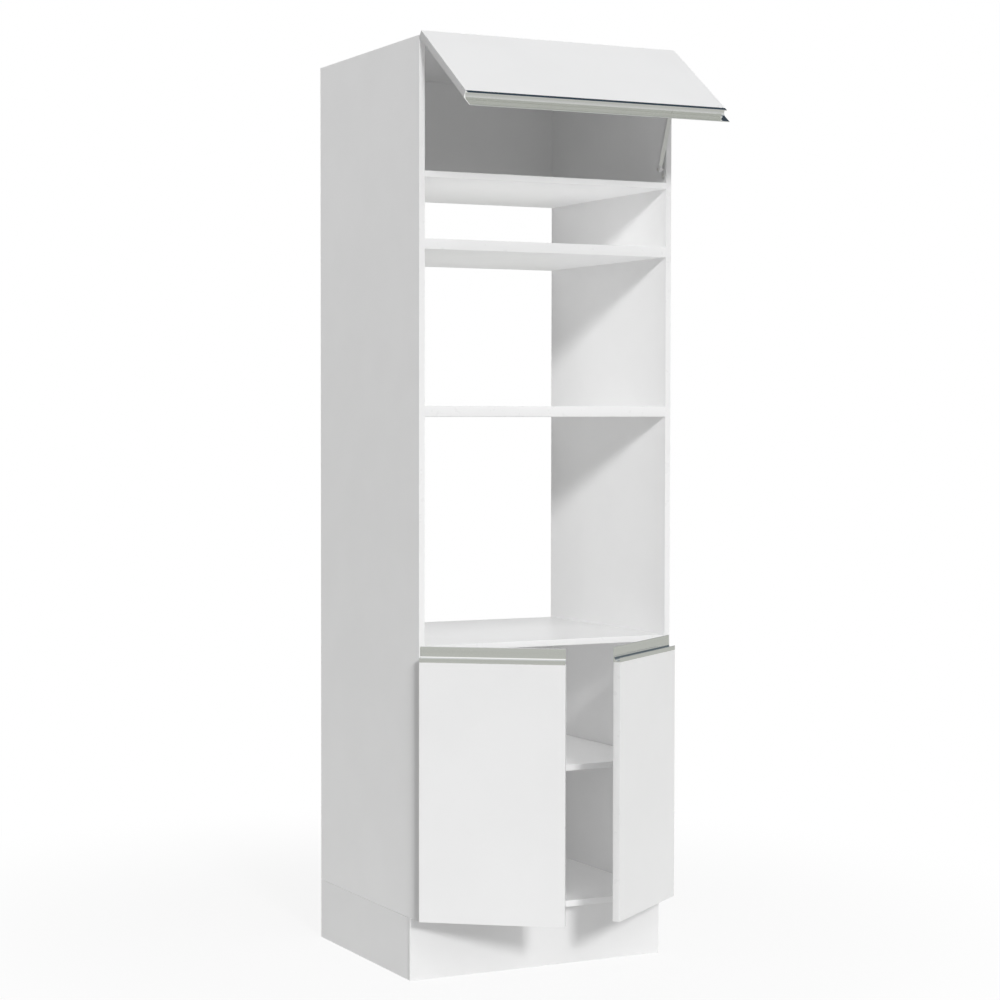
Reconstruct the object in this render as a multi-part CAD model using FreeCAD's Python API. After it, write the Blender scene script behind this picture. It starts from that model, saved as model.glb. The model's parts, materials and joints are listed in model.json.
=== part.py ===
import FreeCAD, Part
import math
import os
from FreeCAD import Placement, Rotation, Vector

# Oven housing cabinet, in millimetres.
# X runs across the front, Y towards the wall and Z up.
# The origin is on the floor, on the wall line, in the middle of the width.

# Carcass
WIDTH = 700.0
DEPTH = 580.0
BOARD = 15.0
THICK_BOARD = 25.0
BACK_SHEET = 3.0
BACK_REBATE = 8.0
REBATE_PLAY = 0.2

# Plinth
PLINTH_HEIGHT = 152.0
PLINTH_RECESS = 46.0
CORNER_BLOCK_LEG = 40.0
CORNER_BLOCK_HEIGHT = 120.0

# Clear heights, from the plinth up
CUPBOARD_CLEAR = 632.0
OVEN_CLEAR = 546.0
MICROWAVE_CLEAR = 372.0
TRAY_CLEAR = 145.0
TOP_CLEAR = 303.0

# Loose shelf in the cupboard
SHELF_RISE = 320.0
SHELF_SETBACK = 10.0
SHELF_PLAY = 1.0
SHELF_PIN_RADIUS = 2.5
SHELF_PIN_COLLAR_RADIUS = 4.0
SHELF_PIN_BITE = 8.0
SHELF_PIN_REACH = 8.0
SHELF_PIN_INSET = 60.0

# Cam fittings that pull the boards against the sides
CAM_RADIUS = 7.5
CAM_PLAY = 0.1
CAM_DEPTH = 12.5
CAM_BACKSET = 24.0
CAM_AXIS_DEPTH = 7.5
CAM_INSET = 70.0
CAM_BOLT_RADIUS = 3.4
CAM_BOLT_PLAY = 0.2
CAM_BOLT_REACH = 21.5
CAM_THREAD_RADIUS = 2.5
CAM_THREAD_BITE = 11.0

# Fronts: two doors and a flap that cover the carcass edges
DOOR_BOARD = 18.0
FRONT_GAP = 2.0
FRONT_REVEAL = 0.5
DOOR_SPLIT = 3.0
DOOR_OPEN = 36.0
FLAP_OPEN = 53.5
DOOR_LIFT = 3.5
DOOR_RAIL_DROP = 1.0
FLAP_RAIL_LAP = 11.0

# Extruded handle rail on the edge of each front
RAIL_LIP = 11.0
RAIL_WING = 37.0
RAIL_WALL = 1.8
RAIL_BASE = 2.0
RAIL_COVE_RADIUS = 9.0
RAIL_TOE_RADIUS = 1.5
RAIL_TONGUE_WIDTH = 3.0
RAIL_TONGUE_DEPTH = 9.0
RAIL_TONGUE_PLAY = 0.1
RAIL_BARB = 0.5

# Single-pin cup hinge, sizes from the pin
PIN_EDGE = 4.0
PIN_DEPTH = 4.2
PIN_RADIUS = 1.0
PIN_PLAY = 0.05
EYE_WALL = 0.75
LUG_HALF = 1.9
LUG_LENGTH = 6.5
LUG_WALL = 3.6
POCKET_PLAY = 0.1
CUP_EDGE = 4.5
CUP_RADIUS = 17.5
CUP_DEPTH = 12.5
CUP_WALL = 1.0
CUP_FLANGE = 1.2
CUP_FLANGE_RIM = 2.0
CUP_WING_START = 3.0
CUP_WING_WIDTH = 13.0
CUP_WING_SPAN = 30.0
CUP_WING_CORNER = 4.0
ARM_HALF = 4.0
ARM_SIDE_PLAY = 0.4
NECK = 2.4
NECK_DROP = 0.6
NECK_BEND = 6.0
NECK_STAND = 3.1
ARM_SHOULDER = 1.5
ARM_HEIGHT = 9.0
ARM_WALL = 1.2
ARM_START = 3.0
ARM_END = 64.0
PLATE = 3.0
PLATE_HALF = 8.0
PLATE_START = 20.0
PLATE_ROW = 37.0
PLATE_WING = 2.0
PLATE_WING_HALF = 7.0
PLATE_WING_SPAN = 26.0
PLATE_WING_CORNER = 4.0
DOOR_HINGE_INSET = 95.0
FLAP_HINGE_INSET = 110.0

# Bumpers behind the fronts
BUMPER_RADIUS = 4.0
BUMPER = 1.6
BUMPER_INSET = 40.0

# Gas stay between the right side and the flap
STAY_INSET = 11.0
STAY_FOOT_SETBACK = 13.0
STAY_FOOT_RISE = 34.0
STAY_ARM = 84.0
STAY_STANDOFF = 12.0
STAY_TUBE_RADIUS = 6.5
STAY_BORE_RADIUS = 5.0
STAY_TUBE_END = 152.0
STAY_TUBE_FLOOR = 3.0
STAY_GLAND = 12.0
STAY_ROD_RADIUS = 3.0
STAY_PISTON_RADIUS = 4.95
STAY_PISTON = 8.0
STAY_ROD_INSIDE = 45.0
STAY_RUN_PLAY = 0.05
STAY_SOCKET_RADIUS = 7.0
STAY_SOCKET_WIDTH = 8.0
STAY_NECK_HALF = 4.2
STAY_NECK = 10.0
STAY_STUD_RADIUS = 3.0
STAY_STUD_END = 1.5
STAY_PLATE = 1.5
STAY_FOOT_PLATE_HALF_WIDTH = 8.0
STAY_FOOT_PLATE_HALF_LENGTH = 24.0
STAY_HEAD_PLATE_WIDTH = 22.0
STAY_HEAD_PLATE_HALF_LENGTH = 16.0
STAY_EAR = 2.0
STAY_EAR_HALF = 6.0
STAY_OPEN_PIVOT_GAP = 0.4
STAY_STUB = 1.8

# Wall angles on the top
ANGLE_WIDTH = 30.0
ANGLE_LEG = 40.0
ANGLE_UPSTAND = 26.0
ANGLE_SHEET = 2.0
ANGLE_SPACING = 500.0
ANGLE_HOLE_RADIUS = 2.75
ANGLE_HOLE_RISE = 15.0
ANGLE_BEND_RADIUS = 2.5

# Heights that follow from the stack of boards
BOTTOM_Z = PLINTH_HEIGHT
BOTTOM_TOP = BOTTOM_Z + BOARD
SHELF_Z = BOTTOM_TOP + SHELF_RISE
OVEN_FLOOR_Z = BOTTOM_TOP + CUPBOARD_CLEAR
OVEN_FLOOR_TOP = OVEN_FLOOR_Z + BOARD
MICROWAVE_SHELF_Z = OVEN_FLOOR_TOP + OVEN_CLEAR
TRAY_SHELF_Z = MICROWAVE_SHELF_Z + THICK_BOARD + MICROWAVE_CLEAR
TOP_SHELF_Z = TRAY_SHELF_Z + THICK_BOARD + TRAY_CLEAR
TOP_SHELF_TOP = TOP_SHELF_Z + BOARD
TOP_PANEL_Z = TOP_SHELF_TOP + TOP_CLEAR
HEIGHT = TOP_PANEL_Z + BOARD

# Planes that pieces share
HALF = WIDTH / 2
INNER = HALF - BOARD
FRONT = -DEPTH
FRONT_BACK_Y = FRONT - FRONT_GAP
FRONT_FACE_Y = FRONT_BACK_Y - DOOR_BOARD
DOOR_BOTTOM = BOTTOM_Z + DOOR_LIFT
DOOR_TOP = OVEN_FLOOR_TOP - DOOR_RAIL_DROP - RAIL_WING
DOOR_WIDTH = HALF - FRONT_REVEAL - DOOR_SPLIT / 2
FLAP_TOP = HEIGHT - FRONT_REVEAL
FLAP_BOTTOM = TOP_SHELF_Z + FLAP_RAIL_LAP + RAIL_WING
FLAP_WIDTH = WIDTH - 2 * FRONT_REVEAL
PIN_Y = FRONT_BACK_Y - PIN_DEPTH
DOOR_PIN_X = HALF - FRONT_REVEAL - PIN_EDGE
FLAP_PIN_Z = FLAP_TOP - PIN_EDGE
STAY_X = INNER - STAY_INSET

# Carcass edge and inner face as the hinge sees them, from its pin
HINGE_FRONT = PIN_DEPTH + FRONT_GAP
HINGE_INNER = BOARD - FRONT_REVEAL - PIN_EDGE
CUP_X = CUP_EDGE + CUP_RADIUS - PIN_EDGE
LUG_SPAN = ARM_HALF + ARM_SIDE_PLAY + LUG_WALL

# Sides of the polygons that stand for circles on small repeated pieces
BOLT_SIDES = 6
FITTING_SIDES = 8
SMALL_SIDES = 12
CUP_SIDES = 16

# Fixed boards: underside, thickness, cams on the upper face, back sheet behind
FIXED_BOARDS = {
    "top_panel": (TOP_PANEL_Z, BOARD, True, True),
    "top_compartment_shelf": (TOP_SHELF_Z, BOARD, True, True),
    "tray_shelf": (TRAY_SHELF_Z, THICK_BOARD, True, False),
    "microwave_shelf": (MICROWAVE_SHELF_Z, THICK_BOARD, True, False),
    "oven_floor": (OVEN_FLOOR_Z, BOARD, False, True),
    "cupboard_bottom": (BOTTOM_Z, BOARD, False, True),
}
# Stretches of the back that a sheet closes
BACK_SHEETS = {
    "top_back_sheet": (TOP_SHELF_Z, HEIGHT),
    "cupboard_back_sheet": (BOTTOM_Z, OVEN_FLOOR_TOP),
}
CAM_ROWS = (FRONT + CAM_INSET, -CAM_INSET)
SHELF_PIN_ROWS = (FRONT + SHELF_PIN_INSET, -SHELF_PIN_INSET)
SIDES = {"left": -1, "right": 1}


def block(x, y, z):
    """Box between two values of X, of Y and of Z, in either order."""
    low = Vector(min(x), min(y), min(z))
    return Part.makeBox(abs(x[1] - x[0]), abs(y[1] - y[0]), abs(z[1] - z[0]), low)


def bar(radius, start, end):
    """Round bar from one point to another."""
    run = end - start
    return Part.makeCylinder(radius, run.Length, start, run)


def prism(sides, radius, start, end):
    """Bar from one point to another with a regular section; its flats are at the radius."""
    run = end - start
    upright = Vector(0, 0, 1)
    across = Vector(1, 0, 0) if run.cross(upright).Length < run.Length / 2 else run.cross(upright)
    corner = across.normalize() * (radius / math.cos(math.pi / sides))
    turns = [Rotation(run, 360 * (k + 0.5) / sides) for k in range(sides)]
    points = [start + turn.multVec(corner) for turn in turns]
    return Part.Face(Part.makePolygon(points + points[:1])).extrude(run)


def plate(centre, half_u, half_v, corner, depth):
    """Flat plate with cut corners: two half sizes as vectors and its thickness as a vector."""
    u, v = half_u * (1 / half_u.Length), half_v * (1 / half_v.Length)
    points = []
    for along, across in ((1, 1), (-1, 1), (-1, -1), (1, -1)):
        tip = centre + half_u * along + half_v * across
        cuts = [tip - v * (corner * across), tip - u * (corner * along)]
        points += cuts if along == across else reversed(cuts)
    return Part.Face(Part.makePolygon(points + points[:1])).extrude(depth)


def fuse(shapes):
    """One solid from pieces that share faces or volume."""
    return shapes[0].fuse(shapes[1:]).removeSplitter()


def line(start, end):
    return Part.LineSegment(start, end).toShape()


def arc(start, middle, end):
    return Part.Arc(start, middle, end).toShape()


def export(name, solids):
    """Write one node, made of one or more separate solids."""
    shape = solids[0] if len(solids) == 1 else Part.makeCompound(solids)
    shape.exportStep("parts/" + name + ".step")


# Cam fittings


def cam_places():
    """Every cam: the board's name, the side, its row, and the face that it is let into."""
    for name, (underside, thickness, on_top, _) in FIXED_BOARDS.items():
        face = underside + thickness if on_top else underside
        inward = -1 if on_top else 1
        for side in SIDES.values():
            for row in CAM_ROWS:
                yield name, side, row, face, inward


def cam_pocket(side, row, face, inward):
    """Round pocket for a cam and the end hole for its bolt, cut from a board."""
    centre = Vector(side * (INNER - CAM_BACKSET), row, face)
    pocket = prism(FITTING_SIDES, CAM_RADIUS, centre, centre + Vector(0, 0, inward * CAM_DEPTH))
    axis_z = face + inward * CAM_AXIS_DEPTH
    mouth = Vector(side * INNER, row, axis_z)
    hole = prism(BOLT_SIDES, CAM_BOLT_RADIUS + CAM_BOLT_PLAY, mouth, Vector(centre.x, row, axis_z))
    return [pocket, hole]


def cam_lock(side, row, face, inward):
    """Cam disc with the mouth that takes the bolt."""
    centre = Vector(side * (INNER - CAM_BACKSET), row, face)
    floor = centre + Vector(0, 0, inward * (CAM_DEPTH - CAM_PLAY))
    disc = prism(FITTING_SIDES, CAM_RADIUS - CAM_PLAY, centre, floor)
    axis_z = face + inward * CAM_AXIS_DEPTH
    mouth = Vector(side * INNER, row, axis_z)
    tip = Vector(side * (INNER - CAM_BOLT_REACH - CAM_BOLT_PLAY), row, axis_z)
    return disc.cut(prism(BOLT_SIDES, CAM_BOLT_RADIUS + CAM_BOLT_PLAY, mouth, tip))


def cam_bolt(side, row, face, inward):
    """Bolt screwed into the side, with its head in the cam."""
    axis_z = face + inward * CAM_AXIS_DEPTH
    seat = Vector(side * INNER, row, axis_z)
    tip = Vector(side * (INNER - CAM_BOLT_REACH), row, axis_z)
    head = prism(BOLT_SIDES, CAM_BOLT_RADIUS, seat, tip)
    return fuse([head, cam_thread_hole(side, row, face, inward)])


def cam_thread_hole(side, row, face, inward):
    """The bolt's thread, which is also the hole that it fills in the side."""
    axis_z = face + inward * CAM_AXIS_DEPTH
    seat = Vector(side * INNER, row, axis_z)
    return prism(BOLT_SIDES, CAM_THREAD_RADIUS, seat, Vector(side * (INNER + CAM_THREAD_BITE), row, axis_z))


# Cup hinge, made with its pin along Z at the origin:
# X runs from the pin towards the front's free edge, Y into the cabinet


def hinge_cup():
    """Cup with its screw flange and the two lugs that hold the pin."""
    radius = CUP_RADIUS - POCKET_PLAY
    rim = Vector(CUP_X, PIN_DEPTH, 0)
    floor = Vector(CUP_X, PIN_DEPTH - CUP_DEPTH, 0)
    top = Vector(CUP_X, PIN_DEPTH + CUP_FLANGE, 0)
    inner_floor = floor + Vector(0, CUP_WALL, 0)
    wing = plate(
        rim + Vector(CUP_WING_START + CUP_WING_WIDTH / 2, 0, 0),
        Vector(CUP_WING_WIDTH / 2, 0, 0),
        Vector(0, 0, CUP_WING_SPAN),
        CUP_WING_CORNER,
        Vector(0, CUP_FLANGE, 0),
    )
    ring = prism(CUP_SIDES, radius + CUP_FLANGE_RIM, rim, top)
    lugs = block((-LUG_HALF, LUG_LENGTH), (-LUG_HALF, PIN_DEPTH), (-LUG_SPAN, LUG_SPAN))
    cup = fuse([prism(CUP_SIDES, radius, floor, top), ring, wing, lugs])
    hollow = prism(CUP_SIDES, radius - CUP_WALL, inner_floor, top).cut(lugs)
    gap = ARM_HALF + ARM_SIDE_PLAY
    slot = block((-LUG_LENGTH, CUP_X), (inner_floor.y, top.y), (-gap, gap))
    seat = prism(SMALL_SIDES, PIN_RADIUS, Vector(0, 0, -LUG_SPAN), Vector(0, 0, LUG_SPAN))
    return cup.cut([hollow, slot, seat])


def hinge_pin():
    """Pin through both lugs and the arm's eye."""
    return prism(SMALL_SIDES, PIN_RADIUS, Vector(0, 0, -LUG_SPAN), Vector(0, 0, LUG_SPAN))


def hinge_pocket():
    """What the hinge takes out of the front: the cup bore and the pocket for the lugs."""
    rim = Vector(CUP_X, PIN_DEPTH, 0)
    bore = prism(CUP_SIDES, CUP_RADIUS, rim - Vector(0, CUP_DEPTH, 0), rim)
    low = -LUG_HALF - POCKET_PLAY
    span = LUG_SPAN + POCKET_PLAY
    return [bore, block((low, LUG_LENGTH), (low, PIN_DEPTH), (-span, span))]


def hinge_arm():
    """Eye on the pin, bent neck round the board's edge, and the channel over the plate."""
    half = NECK / 2
    low, high = Vector(0, 0, -ARM_HALF), Vector(0, 0, ARM_HALF)
    riser_x = HINGE_INNER + NECK_STAND
    bend = Vector(riser_x - NECK_BEND, NECK_BEND - NECK_DROP, -ARM_HALF)
    neck = block((0, bend.x), (-NECK_DROP - half, -NECK_DROP + half), (low.z, high.z))
    outer = Part.makeCylinder(NECK_BEND + half, 2 * ARM_HALF, bend, Vector(0, 0, 1), 90)
    inner = Part.makeCylinder(NECK_BEND - half, 2 * ARM_HALF, bend, Vector(0, 0, 1), 90)
    elbow = outer.cut(inner)
    elbow.rotate(bend, Vector(0, 0, 1), -90)
    tab_y = HINGE_FRONT + ARM_START
    riser = block((riser_x - half, riser_x + half), (bend.y, tab_y), (low.z, high.z))
    base = HINGE_INNER + PLATE
    top = base + ARM_HEIGHT
    half_width = ARM_HALF + ARM_SHOULDER
    tab = block((riser_x - half, top), (tab_y, tab_y + NECK), (-half_width, half_width))
    end_y = HINGE_FRONT + ARM_END
    core = half_width - ARM_WALL
    shell = block((base, top), (tab_y, end_y), (-half_width, half_width))
    hollow = block((base, top - ARM_WALL), (tab_y, end_y), (-core, core))
    bore = PIN_RADIUS + PIN_PLAY
    eye = prism(SMALL_SIDES, bore + EYE_WALL, low, high)
    arm = fuse([eye, neck, elbow, riser, tab, shell.cut(hollow)])
    return arm.cut(prism(SMALL_SIDES, bore, low, high))


def hinge_plate():
    """Mounting plate with two screw wings, on the board's inner face."""
    foot = block(
        (HINGE_INNER, HINGE_INNER + PLATE),
        (HINGE_FRONT + PLATE_START, HINGE_FRONT + ARM_END),
        (-PLATE_HALF, PLATE_HALF),
    )
    wing = plate(
        Vector(HINGE_INNER, HINGE_FRONT + PLATE_ROW, 0),
        Vector(0, PLATE_WING_HALF, 0),
        Vector(0, 0, PLATE_WING_SPAN),
        PLATE_WING_CORNER,
        Vector(PLATE_WING, 0, 0),
    )
    return fuse([foot, wing])


def hinge_places(front):
    """Where a front's two hinges stand, turned from the hinge's own axes."""
    upright = Vector(0, 1, 0)
    if front == "flap":
        reach = FLAP_WIDTH / 2 - FLAP_HINGE_INSET
        spots = [Vector(x, PIN_Y, FLAP_PIN_Z) for x in (-reach, reach)]
        return [Placement(spot, Rotation(upright, 90)) for spot in spots]
    side = SIDES[front]
    heights = (DOOR_BOTTOM + DOOR_HINGE_INSET, DOOR_TOP - DOOR_HINGE_INSET)
    turn = Rotation(upright, 0 if side < 0 else 180)
    return [Placement(Vector(side * DOOR_PIN_X, PIN_Y, z), turn) for z in heights]


def placed(shapes, place):
    """Copies of shapes, moved from the hinge's own axes to its place."""
    copies = []
    for shape in shapes:
        copy = shape.copy()
        copy.Placement = place.multiply(copy.Placement)
        copies.append(copy)
    return copies


def at_hinges(front, shapes):
    return [copy for place in hinge_places(front) for copy in placed(shapes, place)]


# Fronts, made closed and then swung to the photographed opening


def swing(front, shapes):
    """Open a front's pieces about its hinge pins."""
    if front == "flap":
        base, axis, angle = Vector(0, PIN_Y, FLAP_PIN_Z), Vector(-1, 0, 0), FLAP_OPEN
    else:
        side = SIDES[front]
        base, axis, angle = Vector(side * DOOR_PIN_X, PIN_Y, 0), Vector(0, 0, side), DOOR_OPEN
    turned = []
    for shape in shapes:
        copy = shape.copy()
        copy.rotate(base, axis, angle)
        turned.append(copy)
    return turned


def rail_section():
    """Section of the handle rail in Y (from the face) and Z (from the board's edge)."""
    back = DOOR_BOARD
    inner = back - RAIL_WALL
    tip = RAIL_WALL / 2
    cove_y = inner - RAIL_COVE_RADIUS
    cove_z = RAIL_BASE + RAIL_COVE_RADIUS
    toe_y = RAIL_WALL + RAIL_TOE_RADIUS
    toe_z = RAIL_BASE + RAIL_TOE_RADIUS
    slant = math.sqrt(0.5)

    def at(y, z):
        return Vector(0, y, z)

    cove_middle = at(cove_y + RAIL_COVE_RADIUS * slant, cove_z - RAIL_COVE_RADIUS * slant)
    toe_middle = at(toe_y - RAIL_TOE_RADIUS * slant, toe_z - RAIL_TOE_RADIUS * slant)
    tongue_low = DOOR_BOARD / 2 - RAIL_TONGUE_WIDTH / 2
    tongue_high = DOOR_BOARD / 2 + RAIL_TONGUE_WIDTH / 2
    edges = [
        line(at(0, 0), at(0, RAIL_LIP - tip)),
        arc(at(0, RAIL_LIP - tip), at(tip, RAIL_LIP), at(RAIL_WALL, RAIL_LIP - tip)),
        line(at(RAIL_WALL, RAIL_LIP - tip), at(RAIL_WALL, toe_z)),
        arc(at(RAIL_WALL, toe_z), toe_middle, at(toe_y, RAIL_BASE)),
        line(at(toe_y, RAIL_BASE), at(cove_y, RAIL_BASE)),
        arc(at(cove_y, RAIL_BASE), cove_middle, at(inner, cove_z)),
        line(at(inner, cove_z), at(inner, RAIL_WING - tip)),
        arc(at(inner, RAIL_WING - tip), at(back - tip, RAIL_WING), at(back, RAIL_WING - tip)),
        line(at(back, RAIL_WING - tip), at(back, 0)),
        line(at(back, 0), at(tongue_high, 0)),
        line(at(tongue_high, 0), at(tongue_high - RAIL_BARB, -RAIL_TONGUE_DEPTH)),
        line(at(tongue_high - RAIL_BARB, -RAIL_TONGUE_DEPTH), at(tongue_low + RAIL_BARB, -RAIL_TONGUE_DEPTH)),
        line(at(tongue_low + RAIL_BARB, -RAIL_TONGUE_DEPTH), at(tongue_low, 0)),
        line(at(tongue_low, 0), at(0, 0)),
    ]
    return Part.Face(Part.Wire(edges))


def rail(x, edge_z, upward):
    """Handle rail along a front's edge, with its wing above the edge or below it."""
    length = x[1] - x[0]
    solid = rail_section().extrude(Vector(length, 0, 0))
    solid.translate(Vector(-length / 2, 0, 0))
    if not upward:
        solid.rotate(Vector(0, 0, 0), Vector(0, 1, 0), 180)
    solid.translate(Vector((x[0] + x[1]) / 2, FRONT_FACE_Y, edge_z))
    return solid


def rail_groove(x, edge_z, upward):
    """Groove for the rail's tongue in the front's edge."""
    middle = FRONT_FACE_Y + DOOR_BOARD / 2
    half = RAIL_TONGUE_WIDTH / 2 + RAIL_TONGUE_PLAY
    depth = RAIL_TONGUE_DEPTH + RAIL_TONGUE_PLAY
    bottom = edge_z - depth if upward else edge_z + depth
    return block(x, (middle - half, middle + half), (edge_z, bottom))


def bumpers(places):
    """Round bumpers on a front's back face."""
    depth = Vector(0, BUMPER, 0)
    return [prism(SMALL_SIDES, BUMPER_RADIUS, place, place + depth) for place in places]


def export_front(front, board_name, x, z, upward, bumper_places):
    """One front with its rail, cups, pins and bumpers."""
    edge_z = z[1] if upward else z[0]
    board = block(x, (FRONT_FACE_Y, FRONT_BACK_Y), z)
    board = board.cut(at_hinges(front, hinge_pocket()) + [rail_groove(x, edge_z, upward)])
    export(board_name, swing(front, [board]))
    export(front + "_handle_rail", swing(front, [rail(x, edge_z, upward)]))
    export(front + "_hinge_cups", swing(front, at_hinges(front, [hinge_cup()])))
    export(front + "_hinge_pins", swing(front, at_hinges(front, [hinge_pin()])))
    export(front + "_bumpers", swing(front, bumpers(bumper_places)))


def export_hinges(front):
    """What a front's hinges leave on the carcass."""
    export(front + "_hinge_arms", at_hinges(front, [hinge_arm()]))
    export(front + "_hinge_plates", at_hinges(front, [hinge_plate()]))


def export_doors():
    low_edge = (DOOR_BOTTOM + BOTTOM_TOP) / 2
    for name, side in SIDES.items():
        x = sorted((side * (HALF - FRONT_REVEAL), side * DOOR_SPLIT / 2))
        free_x = side * (DOOR_SPLIT / 2 + BUMPER_INSET)
        middle_x = side * (DOOR_SPLIT / 2 + DOOR_WIDTH / 2)
        places = [Vector(spot, FRONT_BACK_Y, low_edge) for spot in (free_x, middle_x)]
        export_front(name, name + "_door_board", x, (DOOR_BOTTOM, DOOR_TOP), True, places)
        export_hinges(name)


def export_flap():
    x = (-FLAP_WIDTH / 2, FLAP_WIDTH / 2)
    edge_x = HALF - BOARD / 2
    places = [Vector(spot, FRONT_BACK_Y, FLAP_BOTTOM + BUMPER_INSET) for spot in (-edge_x, edge_x)]
    export_front("flap", "flap_board", x, (FLAP_BOTTOM, FLAP_TOP), False, places)
    export_hinges("flap")


# Gas stay


def stay_head_closed():
    """Centre of the stay's head on the closed flap."""
    return Vector(STAY_X, FRONT_BACK_Y + STAY_STANDOFF, FLAP_PIN_Z - STAY_ARM)


def stay_ends():
    """Centres of the stay's foot and of its head, with the flap as photographed."""
    foot = Vector(STAY_X, FRONT + STAY_FOOT_SETBACK, TOP_SHELF_TOP + STAY_FOOT_RISE)
    turn = Rotation(Vector(-1, 0, 0), FLAP_OPEN)
    pin = Vector(STAY_X, PIN_Y, FLAP_PIN_Z)
    return foot, pin + turn.multVec(stay_head_closed() - pin)


def stay_socket(centre, along):
    """Flat eye round a stud, with the neck that meets the tube or the rod."""
    width = Vector(STAY_SOCKET_WIDTH, 0, 0)
    edge = centre - width / 2
    across = along.cross(Vector(1, 0, 0)) * STAY_NECK_HALF
    reach = along * STAY_NECK
    corners = [edge + across, edge - across, edge - across + reach, edge + across + reach]
    neck = Part.Face(Part.makePolygon(corners + corners[:1])).extrude(width)
    eye = bar(STAY_SOCKET_RADIUS, edge, edge + width)
    return fuse([eye, neck]).cut(bar(STAY_STUD_RADIUS + STAY_RUN_PLAY, edge, edge + width))


def stay_tube(foot, along):
    """Pressure tube, closed at the foot and narrowed to the rod at its gland."""
    end = foot + along * STAY_TUBE_END
    gland = end - along * STAY_GLAND
    tube = bar(STAY_TUBE_RADIUS, foot + along * STAY_NECK, end)
    bore = bar(STAY_BORE_RADIUS, foot + along * (STAY_NECK + STAY_TUBE_FLOOR), gland)
    return tube.cut([bore, bar(STAY_ROD_RADIUS + STAY_RUN_PLAY, gland, end)])


def stay_rod(foot, head, along):
    """Rod with its piston, from inside the tube to the head socket."""
    inner = foot + along * (STAY_TUBE_END - STAY_ROD_INSIDE)
    rod = bar(STAY_ROD_RADIUS, inner, head - along * STAY_NECK)
    return fuse([rod, bar(STAY_PISTON_RADIUS, inner, inner + along * STAY_PISTON)])


def stay_foot_bracket(foot):
    """Plate on the right side panel with the stud that carries the foot."""
    plate = block(
        (INNER - STAY_PLATE, INNER),
        (foot.y - STAY_FOOT_PLATE_HALF_WIDTH, foot.y + STAY_FOOT_PLATE_HALF_WIDTH),
        (foot.z - STAY_FOOT_PLATE_HALF_LENGTH, foot.z + STAY_FOOT_PLATE_HALF_LENGTH),
    )
    tip = Vector(STAY_X - STAY_SOCKET_WIDTH / 2 - STAY_STUD_END, foot.y, foot.z)
    return fuse([plate, bar(STAY_STUD_RADIUS, tip, Vector(INNER, foot.y, foot.z))])


def stay_head_bracket():
    """Plate on the flap's back with an ear, and a stub that ends just short of the socket."""
    head = stay_head_closed()
    stub_x = STAY_X + STAY_SOCKET_WIDTH / 2 + STAY_OPEN_PIVOT_GAP
    ear_x = stub_x + STAY_STUB
    plate_y = FRONT_BACK_Y + STAY_PLATE
    z = (head.z - STAY_HEAD_PLATE_HALF_LENGTH, head.z + STAY_HEAD_PLATE_HALF_LENGTH)
    plate = block((ear_x + STAY_EAR - STAY_HEAD_PLATE_WIDTH, ear_x + STAY_EAR), (FRONT_BACK_Y, plate_y), z)
    ear_z = (head.z - STAY_EAR_HALF, head.z + STAY_EAR_HALF)
    ear = block((ear_x, ear_x + STAY_EAR), (plate_y, head.y), ear_z)
    crown = bar(STAY_EAR_HALF, Vector(ear_x, head.y, head.z), Vector(ear_x + STAY_EAR, head.y, head.z))
    stub = bar(STAY_STUD_RADIUS, Vector(stub_x, head.y, head.z), Vector(ear_x, head.y, head.z))
    return fuse([plate, ear, crown, stub])


def export_stay():
    foot, head = stay_ends()
    along = (head - foot).normalize()
    export("stay_foot_bracket", [stay_foot_bracket(foot)])
    export("stay_foot_socket", [stay_socket(foot, along)])
    export("stay_tube", [stay_tube(foot, along)])
    export("stay_rod", [stay_rod(foot, head, along)])
    export("stay_head_socket", [stay_socket(head, along * -1)])
    export("stay_head_bracket", swing("flap", [stay_head_bracket()]))


# Carcass boards and what holds them


def shelf_pin(side, row):
    """Pin pushed into the side, with a collar and the stem that the shelf lies on."""
    axis_z = SHELF_Z - SHELF_PIN_RADIUS
    hidden = Vector(side * (INNER + SHELF_PIN_BITE), row, axis_z)
    face = Vector(side * INNER, row, axis_z)
    collar = Vector(side * (INNER - SHELF_PLAY), row, axis_z)
    tip = Vector(side * (INNER - SHELF_PLAY - SHELF_PIN_REACH), row, axis_z)
    stem = prism(FITTING_SIDES, SHELF_PIN_RADIUS, hidden, tip)
    return fuse([stem, prism(FITTING_SIDES, SHELF_PIN_COLLAR_RADIUS, face, collar)])


def shelf_pin_hole(side, row):
    axis_z = SHELF_Z - SHELF_PIN_RADIUS
    hidden = Vector(side * (INNER + SHELF_PIN_BITE), row, axis_z)
    return prism(FITTING_SIDES, SHELF_PIN_RADIUS, hidden, Vector(side * INNER, row, axis_z))


def side_panel(side):
    """Side board with its back rebates and the holes for bolts and shelf pins."""
    panel = block((side * INNER, side * HALF), (FRONT, 0), (BOTTOM_Z, HEIGHT))
    cuts = [
        block((side * INNER, side * (INNER + BACK_REBATE)), (-BACK_SHEET, 0), z)
        for z in BACK_SHEETS.values()
    ]
    cuts += [cam_thread_hole(*place[1:]) for place in cam_places() if place[1] == side]
    cuts += [shelf_pin_hole(side, row) for row in SHELF_PIN_ROWS]
    return panel.cut(cuts)


def fixed_board(name):
    """Board between the sides, shortened where a back sheet passes behind it."""
    underside, thickness, _, backed = FIXED_BOARDS[name]
    rear = -BACK_SHEET if backed else 0
    board = block((-INNER, INNER), (FRONT, rear), (underside, underside + thickness))
    return board.cut([cut for place in cam_places() if place[0] == name for cut in cam_pocket(*place[1:])])


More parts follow.
